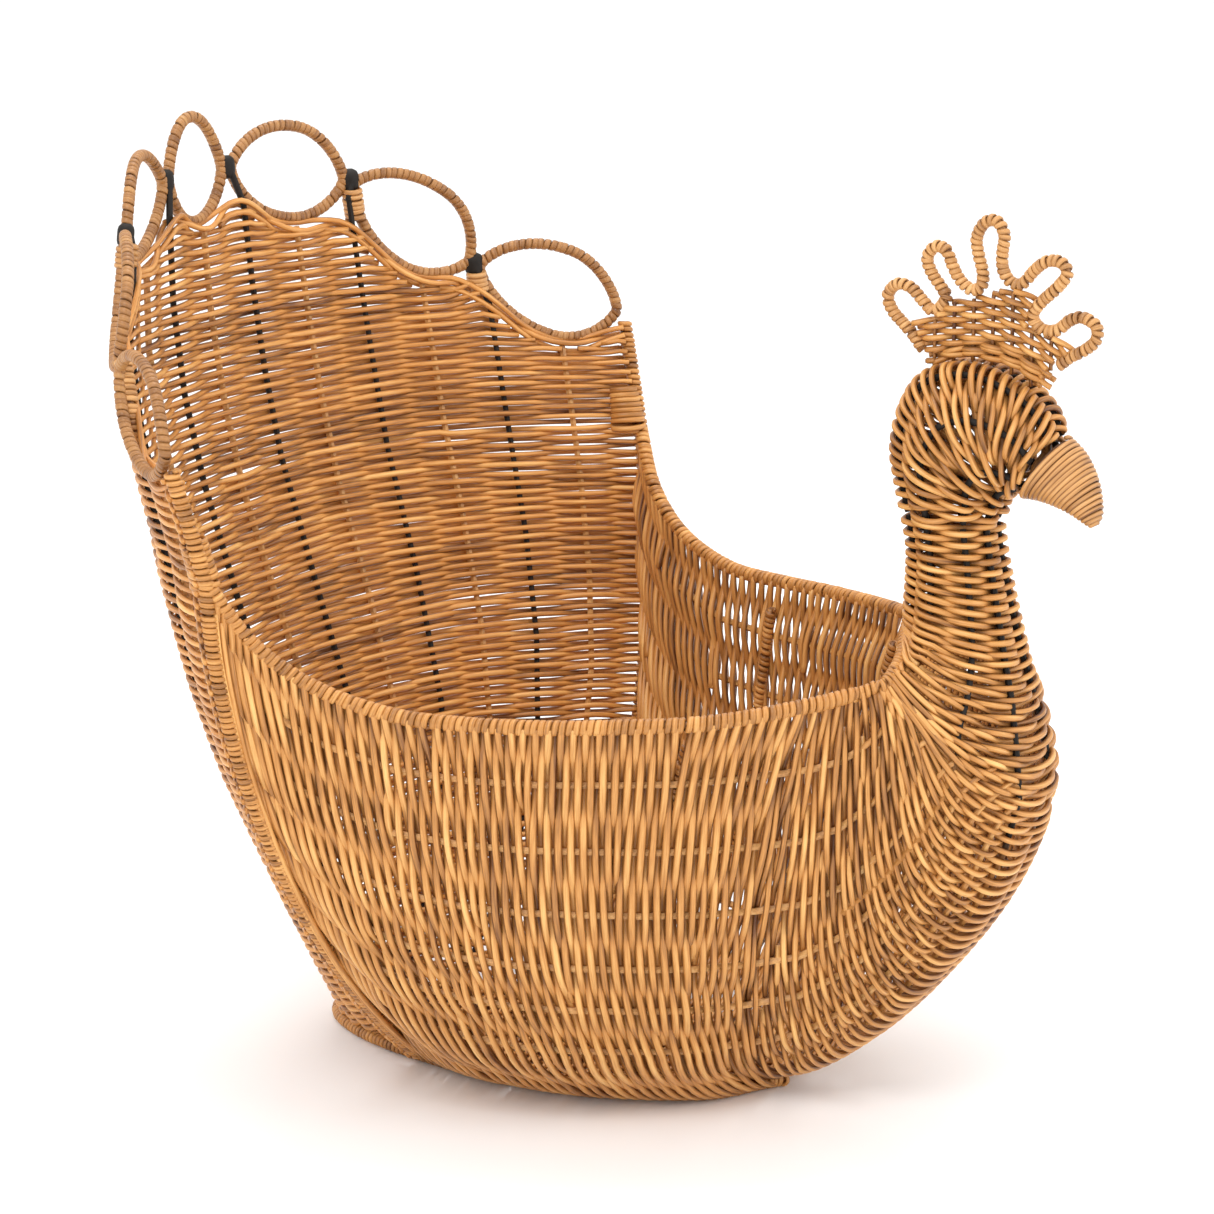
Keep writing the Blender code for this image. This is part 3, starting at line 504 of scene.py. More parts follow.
def eye(index, count):
    """Centre line of one tail loop as height numbers and side numbers."""
    (side_a, level_a), (side_b, level_b) = loop_meets[index], loop_meets[index + 1]
    side_m = (side_a + side_b) / 2
    level_m = (level_a + level_b) / 2
    ends = tail(level_m, np.array((side_a, side_b)))
    across = np.linalg.norm(ends[1] - ends[0]) / 2
    rise = (tail_z(level_b) - tail_z(level_a)) / 2
    half = math.hypot(across, rise)
    cos_slope = across / half
    sin_slope = rise / half
    reach = half - loop_radius - loop_gap
    up, down, shift = loop_bulge_shares[index]
    angle = np.linspace(0, 2 * math.pi, count, endpoint=False)
    run = np.cos(angle)
    skewed = np.where(run > shift, (run - shift) / (1 - shift), (run - shift) / (1 + shift))
    swell = np.clip(1 - np.abs(skewed) ** loop_corner_power, 0, 1) ** loop_side_power
    offset = np.where(np.sin(angle) > 0, up, -down) * tail_rise * swell
    side = side_m + (run * reach * cos_slope - offset * sin_slope) / across * (side_b - side_a) / 2
    level = level_m + (run * reach * sin_slope + offset * cos_slope) / tail_rise
    return level, side


def laid(face, first, second, depth):
    """A line of a face, moved in by a depth, and the directions straight out along it."""
    out = facing(face, first, second)
    return face(first, second) - out * np.asarray(depth)[..., None], out


loop_peel = stained("loop peel", (0.13, 0.045, 0.011), (0.40, 0.182, 0.056), (0.57, 0.315, 0.112), 0.42, True)
peel_thick = 0.00045
loop_pitch = 0.0028
loop_strip = 0.00152
loop_core = loop_radius - 2 * peel_thick
for index in range(loop_count):
    line, out = laid(tail, *eye(index, 160), 0)
    wound = winding(line, out, loop_core, loop_pitch, loop_strip, peel_thick, closed=True, groove=0.14)
    made(f"loop_winding_{index + 1}", wound, loop_peel, "pale_cane", f"tail_loop_{index + 1}")


# Loop ties: black tape round the places where two loops meet, over the top of the
# iron wire. Under three of them a short stack of cane binds the loops to the wire, and
# at the first place the cane binds them alone, without tape.
peel = stained("cane peel", (0.20, 0.075, 0.02), (0.60, 0.30, 0.10), (0.82, 0.51, 0.22), 0.42, True)
tape_half_height = 0.005
tape_half_width = 0.0046
tape_half_depth = 0.0037
tape_round_share = 0.93
bare_radius = 0.0015
tie_depth = 0.002
tie_steps = np.linspace(-1, 1, 9)
bare_share = np.linspace(0, 1, 12)[:, None]
untaped = 0
untaped_shares = np.linspace(-0.9, 1.2, 24)[:, None]
binding_heights = (0, 0.009, 0, 0, 0.014, 0.009)
binding_depth = 0.0012
binding_core = 0.0032
untaped_core = 0.0022
binding_pitch = 0.0025
binding_strip = 0.0013
binding_thick = 0.0009
for number, (side, level) in enumerate(loop_meets[1:-1]):
    out = facing(tail, level, side)
    swell = np.sqrt(1 - (tape_round_share * tie_steps) ** 4)
    line = tail(level + tie_steps * tape_half_height / tail_rise, side)
    tape = [strand(line, out, tape_half_width * swell, tape_half_depth * swell, 0.5, sides=14)]
    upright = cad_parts[f"tail_wire_{number + 1}"]
    spots = np.array([upright.matrix_world @ vertex.co for vertex in upright.data.vertices])
    wire_end = spots[spots[:, 2] > spots[:, 2].max() - bare_radius].mean(axis=0)
    tied = tail(level, side) - out * tie_depth
    line = wire_end + (tied - wire_end) * bare_share - (0, 0, tie_depth) * (1 - bare_share)
    tape.append(strand(line, out, bare_radius, bare_radius, 0.5, sides=10))
    # The first place shows no tape or bare wire: the strands laid for them aren't made.
    if number == untaped:
        line = wire_end + (tied - wire_end) * untaped_shares
        bound = winding(line, out, untaped_core, binding_pitch, binding_strip, binding_thick)
        made(f"loop_binding_{number + 1}", bound, peel, "pale_cane")
        continue
    made(f"loop_tape_{number + 1}", tape, iron, "black_wire")
    if binding_heights[number]:
        high = level - 0.8 * tape_half_height / tail_rise
        low = high - binding_heights[number] / tail_rise
        line = tail(np.linspace(low, high, 24), side) - out * binding_depth
        bound = winding(line, out, binding_core, binding_pitch, binding_strip, binding_thick)
        made(f"loop_binding_{number + 1}", bound, peel, "pale_cane")


# Tail panel: the upright woven sheet behind the bowl. Single round weavers lie level
# on each other from the hoop to the loops, over and under the uprights.
under_depth = 0.004
swing = 0.00275
edge_swing = 0.0009
tail_pitch = 0.0023
tail_radius = 0.00114
tail_flat_share = 1.17
tail_flat_loss = 0.14
# The tail's weavers get about half of that painted shade and highlight.
tail_shade_highlight_share = 0.55
upright_steps = 2 * loop_count
row_end_side = 0.996
fine_sides = np.linspace(-row_end_side, row_end_side, upright_steps * 8 + 1)
try_levels = np.linspace(1.0, 2.0, 160)
valley_reach = 0.09
valley_rise = 0.015
border_count = 3
border_cover = 1.6
row_wander = 0.0001
border_wander = 0.00035
strain_size = 0.00055
strain_sides = np.linspace(-1, 1, 9)
top_pull = 0.7
top_pull_reach = 0.07
loop_touch = 0.6
loop_spots = np.concatenate([tail(*eye(index, 120)) for index in range(loop_count)])
grid = tail(try_levels[:, None], fine_sides[None, :])
nearest = np.full(grid.shape[:2], np.inf)
for spot in loop_spots:
    nearest = np.minimum(nearest, np.linalg.norm(grid - spot, axis=-1))
touching = nearest < loop_radius + loop_touch * tail_radius
tops = try_levels[np.argmax(touching, axis=0)]
tops[0] = tops[1]
tops[-1] = tops[-2]
bottom_sides = (loop_meets[1:, 0] + loop_meets[:-1, 0]) / 2
bottoms = [tops[np.abs(fine_sides - side) < valley_reach].min() for side in bottom_sides]
tops = np.minimum(tops, np.interp(fine_sides, bottom_sides, bottoms) + valley_rise / tail_rise)
kernel = np.hanning(15)
smooth_tops = np.convolve(np.pad(tops, 7, mode="edge"), kernel / kernel.sum(), mode="valid")
tail_low = 2 * hoop_radius / tail_z(np.array(1.0))
rise_levels = np.linspace(tail_low, tops.max(), 400)
rise_run = run_along(tail(rise_levels, 0))
row_levels = np.interp(np.arange(0, rise_run[-1], tail_pitch), rise_run, rise_levels)
crossings = (fine_sides + 1) * upright_steps / 2
edge_steps = np.minimum(np.minimum(crossings, upright_steps - crossings), 1)
openness = np.clip((np.abs(fine_sides) - 0.5) / 0.4, 0, 1)
strain = np.stack([wander(len(row_levels), strain_size, 14) for _ in strain_sides], -1)
smooth_kernel = np.full(7, 1 / 7)


def toned(mean):
    """The tone of one cane: no two are alike."""
    return np.clip(chance.normal(mean, 0.15), 0, 1)


def tail_row(number, levels, part, wide, thick, tone):
    """One level weaver of the tail, over and under the uprights by turns."""
    wave = np.cos(math.pi * (crossings[part] + number))
    depth = under_depth * edge_steps[part] + (swing + (1 - edge_steps[part]) * edge_swing) * wave
    line, out = laid(tail, levels[part], fine_sides[part], depth)
    return strand(line, out, wide, thick, tone, wave=wave * tail_shade_highlight_share)


tail_rows = []
for number, level in enumerate(row_levels):
    drift = wander(len(fine_sides), row_wander) / tail_rise
    drift = drift + np.interp(fine_sides, strain_sides, strain[number]) / tail_rise
    pull = (tops - smooth_tops) * top_pull * np.exp(-(np.maximum(smooth_tops - level, 0)) / top_pull_reach)
    levels = level + drift + pull
    there = levels < tops - (border_count - border_cover) * tail_pitch / tail_rise
    ends = np.flatnonzero(np.diff(np.concatenate([[0], there.astype(int), [0]])))
    for first, last in zip(ends[::2], ends[1::2]):
        if last - first < 4:
            continue
        part = slice(first, last)
        size = tail_radius * chance.uniform(0.95, 1.07)
        wide = size * (tail_flat_share - tail_flat_loss * openness[part] * np.clip(level * 2 - 1, 0, 1))
        tail_rows.append(tail_row(number, levels, part, wide, size, toned(0.48)))
for number in range(border_count):
    levels = np.convolve(np.pad(tops, 3, mode="edge"), smooth_kernel, mode="valid")
    levels = levels - (number * tail_pitch + wander(len(fine_sides), border_wander, 6)) / tail_rise
    tone = chance.normal(0.52, 0.08)
    tail_rows.append(tail_row(number, levels, slice(None), tail_radius * 1.12, tail_radius * 1.05, tone))
half_way = len(tail_rows) // 2
tail_cane = stained("tail cane", (0.15, 0.05, 0.011), (0.62, 0.262, 0.058), (0.88, 0.50, 0.165), 0.42, True)
made("tail_weave_low", tail_rows[:half_way], tail_cane, "dark_cane", "tail_panel")
made("tail_weave_high", tail_rows[half_way:], tail_cane, "dark_cane", "tail_panel")


# Tail posts: the stout canes at the tail's two side edges, from the hoop up the seams
# to the outer loops. The weavers' turns wind them closely.
post_radius = 0.0026
post_core = post_radius - 0.0011
post_pitch = 0.0025
post_strip = 0.00125
post_thick = 0.001
edge_turns = np.linspace(0.985, 0, 90)
upper_levels = np.linspace(1, loop_meets[-1, 1] - 0.03, 30)[1:]
post_line = np.concatenate([body(0, edge_turns), tail(upper_levels, 1)])
post_out = np.concatenate([facing(body, 0.01, edge_turns), facing(tail, upper_levels, 1.0)])


def turned(flip, *lines):
    """The same lines and directions on the left, where flip is 1, or on the right."""
    return [line * (1, flip, 1) for line in lines]


def wound_pair(name, node, line, out, *size, **way):
    """The same winding on the left and on the right."""
    for side, flip in both_sides:
        wound = winding(*turned(flip, line, out), *size, **way)
        made(f"{name}_{side}", wound, cane, "natural_cane", f"{node}_{side}")


wound_pair("post_winding", "tail_post", post_line, post_out, post_core, post_pitch, post_strip, post_thick)


# Corner wraps: where rim and seam meet, the tail's weavers go straight round the post
# and the canes beside it, so the corner is wrapped flat and wide.
wrap_turns = 8
wrap_around = 24
wrap_side = 0.975
wrap_depth = 0.0022
wrap_strip = 0.00132
wrap_thick = 0.0008
angle = np.linspace(0, 2 * math.pi * wrap_turns, wrap_turns * wrap_around + 1)
wrap_levels = np.linspace(0.985, 1.1, len(angle))
wrap_half_width = np.linspace(0.0078, 0.006, len(angle))
wrap_half_depth = 0.005
wrap_line, wrap_out = laid(tail, wrap_levels, wrap_side, wrap_depth)
wrap_across = tail(wrap_levels, wrap_side + 0.01) - tail(wrap_levels, wrap_side - 0.01)
wrap_across /= np.linalg.norm(wrap_across, axis=1, keepdims=True)
wrap_line += wrap_across * (wrap_half_width * np.cos(angle))[:, None]
wrap_line += wrap_out * (wrap_half_depth * np.sin(angle))[:, None]
wrap_up = wrap_across * np.cos(angle)[:, None] + wrap_out * np.sin(angle)[:, None] * 1.5
for name, flip in both_sides:
    shade = np.clip(0.5 + wander(len(angle), 0.1, wrap_around), 0, 1)
    wrap = strand(*turned(flip, wrap_line, wrap_up), wrap_strip, wrap_thick, shade, groove=0.2)
    made(f"corner_wrap_{name}", [wrap], cane, "natural_cane")


# Side walls: single round weavers that run from the rim down to the hoop, over and
# under the six rods. Where the wall narrows, pairs of them are cut off on a rod.
rod_turns = np.array([0, 0.107, 0.225, 0.343, 0.454, 0.554, 0.678, 1])
side_pitch = 0.00252
side_radius = 0.00134
side_steps = 9
side_flat_share = 1.19
side_swing = 0.0021
side_wander = 0.008
least_room = 0.36
# Painted shade along the sides of the wall's and breast's weavers, where they meet their neighbours.
wall_groove = 0.44


def fanned(face_at, levels, places, pitch, growing, ease, lean=0.0):
    """Where each weaver runs on a face that narrows, and how much room it still has.

    face_at gives the face's points for a level and for places across it. Weavers fade
    out by pairs, spread evenly, so that those left keep their pitch. ease is the number
    of levels over which the others close up. With a lean, fewer fade at the last places.
    """
    runs = [run_along(face_at(level, places)) for level in levels]
    pairs = np.array([run[-1] for run in runs]) / pitch / 2
    pairs = np.maximum.accumulate(pairs) if growing else np.minimum.accumulate(pairs)
    most = int(math.ceil(pairs.max()))
    order = np.arange(most) * (math.sqrt(5) - 1) / 2 % 1 * (1 - lean * np.arange(most) / most)
    ranks = np.argsort(np.argsort(order))
    room = np.clip(pairs[:, None] - ranks, 0, 1)
    middle = np.cumsum(room, axis=1) - room / 2
    shares = np.stack([middle - room / 4, middle + room / 4], -1) / pairs[:, None, None]
    shares = shares.reshape(len(levels), -1)
    table = np.stack([np.interp(share * run[-1], run, places) for share, run in zip(shares, runs)])
    kernel = np.hanning(2 * ease + 3)[1:-1, None]
    eased = []
    for values in (table, np.repeat(room, 2, axis=1)):
        padded = np.pad(values, ((ease, ease), (0, 0)), mode="reflect", reflect_type="odd")
        spans = [padded[first:first + 2 * ease + 1] for first in range(len(levels))]
        eased.append(np.stack([(span * kernel).sum(axis=0) for span in spans]))
    return eased[0] / kernel.sum(), eased[1] / kernel.sum()


def tucked(depth, first, last, steps=5):
    """Depths along a weaver whose first or last end goes in under its neighbours."""
    place = np.arange(len(depth))
    ease = np.zeros(len(depth))
    if first:
        ease = np.clip(1 - place / steps, 0, 1) ** 2
    if last:
        ease = np.maximum(ease, np.clip(1 - place[::-1] / steps, 0, 1) ** 2)
    return depth + (under_depth + swing - depth) * ease


side_places = np.linspace(0.1, keel_row, 200)
side_last = len(rod_turns) - 1
side_levels = np.linspace(0, side_last, side_last * side_steps + 1)
side_level_turns = np.interp(side_levels, np.arange(side_last + 1), rod_turns)
table, room = fanned(
    lambda turn, rows: body(rows, turn), side_level_turns, side_places, side_pitch, False, 2 * side_steps)
for name, flip in both_sides:
    wall = []
    for number in range(table.shape[1]):
        gone = np.flatnonzero(room[:, number] < least_room)
        last = gone[0] if len(gone) else len(side_levels)
        if last < side_steps:
            continue
        place = side_levels[:last]
        row = table[:last, number] + wander(last, side_wander, 12)
        turn = side_level_turns[:last]
        inner = np.clip(np.minimum(place, (side_last - place) * 2), 0, 1)
        wave = np.cos(math.pi * (place + number))
        depth = tucked(under_depth * inner + side_swing * (0.8 + 0.2 * inner) * wave, False, len(gone) > 0)
        line, out = turned(flip, *laid(body, row, turn, depth))
        size = side_radius * chance.uniform(0.94, 1.08)
        wide = size * side_flat_share
        wall.append(strand(line, out, wide, size, toned(0.46), groove=wall_groove, wave=wave))
    made(f"side_wall_{name}", wall, cane, "natural_cane", f"side_weave_{name}")


# Seam canes: two light canes laid along each seam, outside the weave, that hide where
# the first side weavers start beside the tail post.
seam_turns = np.linspace(0.03, 0.97, 90)
seam_radius = 0.0012
for name, flip in both_sides:
    beside = []
    for row, lift in ((0.16, -0.0008), (0.3, -0.0002)):
        rows = row + 0.1 * seam_turns + wander(90, 0.01)
        line, out = turned(flip, *laid(body, rows, seam_turns, lift))
        beside.append(strand(line, out, seam_radius, seam_radius, 0.7))
    made(f"seam_canes_{name}", beside, cane, "natural_cane")


# Rims: the thick rounded edges of the opening, from the tail seam to the neck. Each
# weaver turns over the rim cane, so the rim is wound as closely as the wall.
rim_radius = 0.0032
rim_core = rim_radius - 0.0016
rim_pitch = 0.0028
rim_strip = 0.00148
rim_thick = 0.0009
rim_end_row = 12
rim_rows = np.linspace(0.1, rim_end_row, 130)
rim_line = body(rim_rows, 0)
rim_out = facing(body, rim_rows, 0.001)
rim_size = (rim_core, rim_pitch, rim_strip, rim_thick)
wound_pair("rim_winding", "rim", rim_line, rim_out, *rim_size, around=12, groove=0.2)


# Ribs: two upright canes inside each wall, wound with split cane. They stand across
# the rods and keep the wall's curve.
rib_radius = 0.0018
rib_core = rib_radius - 0.0004
rib_pitch = 0.0026
rib_strip = 0.0012
rib_thick = 0.0006
rib_depth = 0.0058 + rib_radius
rib_foot = 0.008
rib_turns = np.linspace(0.05, 0.9, 70)
for rib, row in (("rear", 4), ("front", 7)):
    line, out = laid(body, row, rib_turns, rib_depth)
    keep = line[:, 2] > rib_foot
    rib_size = (rib_core, rib_pitch, rib_strip, rib_thick)
    wound_pair(f"rib_winding_{rib}", f"rib_{rib}", line[keep], out[keep], *rib_size, around=10)


# Breast: weavers that run from one rim round the keel to the other. They fan out from
# the rim ends, so most start under a rod part of the way down. Along the gusset beside
# the neck they turn round an edge cane, and the side rods go on under them.
breast_pitch = 0.00248
breast_radius = 0.0013
breast_lean = 0.74
breast_swing = 0.0024
breast_wander = 0.012
breast_shares = np.linspace(0, 1, 90)
rod_numbers = np.array([0, 1, 2, 3, 4, 5, 6, 7, 7.5])
rod_number_turns = np.append(rod_turns[:-1], (0.8, 1))
wire_turns = np.array([-1, -0.7, -0.15, 0.4, 0.8, 1])
wire_numbers = np.array([-1.5, -1, 0, 1, 2, 2.5])
wires_from_row = 14
wires_by_row = 17.5
closed_row = 18


def edge_turn(row):
    """Where the breast's weave ends towards the back of the neck."""
    return -np.clip(spline(body_shares, row)[..., 13], 0, 1)


def breast_crossing(row, turn):
    """Crossing number along a weaver: rods in the bowl's front, wires higher up."""
    low = np.interp(turn, rod_number_turns, rod_numbers)
    high = np.interp(turn, wire_turns, wire_numbers)
    part = np.clip((row - wires_from_row) / (wires_by_row - wires_from_row), 0, 1)
    part = part * part * (3 - 2 * part)
    return low + (high - low) * part, 15 - 10 * part


def breast_face(share, rows):
    edge = edge_turn(rows)
    return body(rows, edge + (1 - edge) * share)


breast_places = np.linspace(keel_row, closed_row, 200)
table, room = fanned(breast_face, breast_shares, breast_places, breast_pitch, True, 24, breast_lean)
breast = []
for number in range(table.shape[1]):
    row = table[:, number] + wander(len(breast_shares), breast_wander, 14) * np.sin(math.pi * breast_shares)
    edge = edge_turn(row)
    turn = edge + (1 - edge) * breast_shares
    numbers, total = breast_crossing(row, turn)
    inner = np.clip(breast_shares * 12, 0, 1)
    out = facing(body, row, np.minimum(turn, 0.999))
    face = body(row, turn)
    size = breast_radius * chance.uniform(0.94, 1.07)
    tone = toned(0.42)
    seen = np.flatnonzero(room[:, number] > least_room)
    if not len(seen):
        continue
    start = seen[0]
    halves = []
    for flip, half_numbers in ((1, numbers), (-1, total - numbers)):
        wave = np.cos(math.pi * (half_numbers + number))
        depth = under_depth * (0.3 + 0.7 * inner) + breast_swing * (0.5 + 0.5 * inner) * wave
        depth = tucked(depth[start:], start > 0, False)[:, None]
        halves.append((*turned(flip, face[start:] - out[start:] * depth, out[start:]), wave[start:]))
    line, ups, wave = (np.concatenate([left[:-1], right[::-1]]) for left, right in zip(*halves))
    breast.append(strand(line, ups, size, size, tone, groove=wall_groove, wave=wave))
made("breast_wall", breast, cane, "natural_cane", "breast_weave")

edge_rows = np.linspace(rim_end_row, closed_row - 0.1, 70)
edge_line = body(edge_rows, edge_turn(edge_rows))
edge_out = facing(body, edge_rows, edge_turn(edge_rows) + 0.001)
breast_rod_rows = np.linspace(rim_end_row - 0.2, 15.5, 40)
breast_rod_radius = 0.0014
fine_turns = np.linspace(0, 1, 200)
row_numbers = [breast_crossing(row, fine_turns)[0] for row in breast_rod_rows]
gusset_depth = 0.0018
gusset_core = 0.0011
gusset_pitch = 0.0025
gusset_strip = 0.00125
gusset_thick = 0.0009
for name, flip in both_sides:
    line, out = turned(flip, edge_line - edge_out * gusset_depth, edge_out)
    wound = winding(line, out, gusset_core, gusset_pitch, gusset_strip, gusset_thick, around=12)
    made(f"gusset_winding_{name}", wound, cane, "natural_cane")
    rods = []
    for crossing in range(1, 7):
        turn = np.array([np.interp(crossing, numbers, fine_turns) for numbers in row_numbers])
        keep = turn < 0.9
        line, out = turned(flip, *laid(body, breast_rod_rows[keep], turn[keep], under_depth))
        rods.append(strand(line, out, breast_rod_radius, breast_rod_radius, 0.6))
    made(f"breast_rods_{name}", rods, cane, "natural_cane")


# Neck wires: eight black iron wires that stand up from the breast into the head. The
# rings of the neck are woven round them, and they show in the gaps.
foot_tops = (0.115, 0.115, 0.158, 0.115)
foot_fade = 0.015
for number, foot_top in enumerate(foot_tops, start=1):
    footed = iron.copy()
    footed.name = f"iron with cane foot {number}"
    foot_tree = footed.node_tree
    foot_link = foot_tree.links.new
    foot_height = added(foot_tree, "SeparateXYZ")
    foot_share = added(foot_tree, "MapRange", From_Min=foot_top, From_Max=foot_top + foot_fade)
    foot_colour = added(foot_tree, "Mix")
    foot_colour.data_type = "RGBA"
    foot_colour.inputs[6].default_value = (0.4, 0.17, 0.04, 1)
    foot_shader = foot_tree.nodes["Principled BSDF"]
    iron_colour = foot_shader.inputs["Base Color"].links[0].from_socket
    foot_link(added(foot_tree, "NewGeometry").outputs["Position"], foot_height.inputs[0])
    foot_link(foot_height.outputs["Z"], foot_share.inputs["Value"])
    foot_link(foot_share.outputs["Result"], foot_colour.inputs[0])
    foot_link(iron_colour, foot_colour.inputs[7])
    foot_link(foot_colour.outputs[2], foot_shader.inputs["Base Color"])
    coated(footed, f"neck_wire_left_{number}", f"neck_wire_right_{number}")


# Neck: nearly level rings of round cane, over and under the eight wires by turns.
# They are thicker than the wall's weavers and lie close on each other.
neck_pitch = 0.00245
neck_radius = 0.00138
neck_swing = swing - 0.0001
neck_wander = 0.004
neck_row = 21
front_rows = np.linspace(closed_row, neck_row, 200)
front_run = run_along(body(front_rows, 1))
ring_count = round(front_run[-1] / neck_pitch) + 1
ring_rows = np.interp(np.linspace(0, front_run[-1], ring_count), front_run, front_rows)
half_turns = np.linspace(-1, 1, 41)
inner_turns = np.clip(half_turns, -0.995, 0.995)
middle_share = np.sin(np.pi * (half_turns + 1) / 2)
numbers = np.interp(half_turns, wire_turns, wire_numbers)
neck = []
for number, row in enumerate(ring_rows):
    both = []
    for flip, count_on in ((1, numbers), (-1, 5 - numbers)):
        rows = row + wander(len(half_turns), neck_wander) * middle_share
        out = facing(body, rows, inner_turns)
        wave = np.cos(math.pi * (count_on + number))
        depth = under_depth + neck_swing * wave
        both.append((*turned(flip, body(rows, half_turns) - out * depth[:, None], out), wave))
    line, ups, wave = (np.concatenate([left[:-1], right[:0:-1]]) for left, right in zip(*both))
    tone = toned(0.45)
    size = neck_radius * chance.uniform(0.94, 1.06)
    neck.append(strand(line, ups, size, size, tone, closed=True, wave=wave))
made("neck_rings", neck, cane, "natural_cane", "neck_weave")


# Head: weavers that go over the crown and fan in to the throat. Most end on a wire
# before the throat, where there is no room for them.
head_length = 0.080
head_height = 0.067
head_half_width = 0.025
head_shares = np.array([
    (0.275, 0, -0.275, 0.0149, 0.84),
    (0.3, 0.0746, -0.3125, 0.2239, 0.9),
    (0.3125, 0.1194, -0.3375, 0.4478, 0.96),
    (0.3188, 0.1343, -0.2938, 0.7015, 1),
    (0.3313, 0.1493, -0.1625, 0.9328, 1),
    (0.3438, 0.1567, 0.1063, 1.0149, 0.98),
    (0.3563, 0.1642, 0.3625, 0.9254, 0.9),
    (0.3688, 0.1716, 0.5313, 0.7687, 0.8),
    (0.3813, 0.1791, 0.6125, 0.5821, 0.68),
])
head_middle_x = (body_shares[neck_row, 3] + body_shares[neck_row, 11]) / 2 * body_reach
head_middle_z = body_shares[neck_row, 5] * body_height + hoop_radius


def oval(shares, length, height, middle_x, middle_z, angle, depth=0.0):
    """Points round an oval by angle from its top, drawn in by a depth."""
    sizes = shares * (length, height, length, height, head_half_width)
    low_x, low_z, high_x, high_z, half = np.moveaxis(sizes, -1, 0)
    tall = np.hypot(high_x - low_x, high_z - low_z) / 2
    shrink = (tall - depth) / tall
    return np.stack([
        middle_x + (low_x + high_x) / 2 + (high_x - low_x) / 2 * shrink * np.cos(angle),
        (half - depth) * np.sin(angle),
        middle_z + (low_z + high_z) / 2 + (high_z - low_z) / 2 * shrink * np.cos(angle),
    ], -1)


def head(row, turn):
    """Outer face of the left half of the head, in the same turns as the body."""
    row, turn = np.broadcast_arrays(np.asarray(row, float), np.asarray(turn, float))
    angle = (turn + 1) / 2 * math.pi
    return oval(spline(head_shares, row), head_length, head_height, head_middle_x, head_middle_z, angle)


head_pitch = 0.0024
head_radius = 0.00136
head_wander = 0.02
head_last = len(head_shares) - 1
head_places = np.linspace(0.06, head_last - 0.05, 200)
head_turns = np.linspace(-1, 1, 61)
table, room = fanned(lambda turn, rows: head(rows, turn), head_turns, head_places, head_pitch, False, 14)
head_inner = np.clip(head_turns, -0.995, 0.995)
head_numbers = np.interp(head_turns, wire_turns, wire_numbers)
crown = []
for number in range(table.shape[1]):
    row = table[:, number] + wander(len(head_turns), head_wander, 10)
    row = np.clip(row, 0.02, head_last - 0.02)
    out = facing(head, row, head_inner)
    face = head(row, head_turns)
    tone = toned(0.47)
    gone = np.flatnonzero(room[:, number] < least_room)
    last = gone[0] if len(gone) else len(head_turns)
    if last < 6:
        continue
    halves = []
    for flip, half_numbers in ((1, head_numbers), (-1, -3 - head_numbers)):
        wave = np.cos(math.pi * (half_numbers + number))
        depth = tucked(under_depth + swing * wave[:last], False, len(gone) > 0)[:, None]
        halves.append((*turned(flip, face[:last] - out[:last] * depth, out[:last]), wave[:last]))
    line, ups, wave = (np.concatenate([right[:0:-1], left]) for left, right in zip(*halves))
    size = head_radius * chance.uniform(0.94, 1.06)
    crown.append(strand(line, ups, size, size, tone, wave=wave))
made("head_weavers", crown, cane, "natural_cane", "head_weave")


# Head wires: the tops of the neck's iron wires, bent forward under the crown's
# weavers to the root of the beak.
head_wire_radius = 0.0014
head_wire_depth = 0.0039
head_wire_rows = np.linspace(0.05, head_last - 0.1, 40)
wires = []
for turn in wire_turns[1:-1]:
    for name, flip in both_sides:
        line, out = turned(flip, *laid(head, head_wire_rows, turn, head_wire_depth))
        wires.append(strand(line, out, head_wire_radius, head_wire_radius, 0.5, sides=8))
made("head_wires", wires, iron, "black_wire")


# Beak: a plain cane core with one unbroken length of split cane wound round it, close
# turn on turn from the head to the tip.
beak_length = 0.035
beak_drop = 0.038
beak_shares = np.array([
    (0, 0, 0.5286, 0.7105, 0.68),
    (0.2143, -0.0079, 0.7286, 0.5579, 0.58),
    (0.4286, -0.0526, 0.8657, 0.3684, 0.48),
    (0.6143, -0.1184, 0.9514, 0.1579, 0.368),
    (0.7714, -0.1974, 0.9857, -0.0526, 0.252),
    (0.8714, -0.25, 0.9571, -0.1842, 0.12),
])
beak_last = len(beak_shares) - 1


def beak(row, angle, depth):
    """Points of the beak by angle round it, 0 on top, drawn in by a depth."""
    root = head(head_last, 1)
    return oval(spline(beak_shares, row), beak_length, beak_drop, root[0], root[2], angle, depth)


beak_turns = 18
beak_around = 28
beak_strip = 0.00104
beak_thick = 0.0008
beak_margin = 0.0004
beak_wander = 0.00012
# Painted shade in the crevices between the turns of the beak's winding.
beak_groove = 0.5
lower_rows = np.linspace(0, beak_last, 200)
lower_run = run_along(beak(lower_rows, math.pi, 0))
wound_place = np.linspace(beak_margin, lower_run[-1] - beak_margin, beak_turns * beak_around + 1)
wound_place = wound_place + wander(len(wound_place), beak_wander, beak_around)
wound_rows = np.interp(wound_place, lower_run, lower_rows)
wound_angles = np.linspace(0, 2 * math.pi * beak_turns, len(wound_place))
wound_line = beak(wound_rows, wound_angles, beak_thick)
wound_out = beak(wound_rows, wound_angles, 0) - beak(wound_rows, wound_angles, 0.001)
shade = np.clip(0.5 + wander(len(wound_place), 0.14, beak_around), 0, 1)
wound = strand(wound_line, wound_out, beak_strip, beak_thick, shade, sides=10, groove=beak_groove)
made("beak_winding", [wound], peel, "pale_cane", "beak_wrap")
# The beak's core is painted nearly black as painted shade: it shows only in the shade between the turns.
shaded_core_cane = stained("core cane", (0.04, 0.014, 0.005), (0.10, 0.04, 0.012), (0.2, 0.09, 0.03), 0.6, False)
coated(shaded_core_cane, "beak_core")


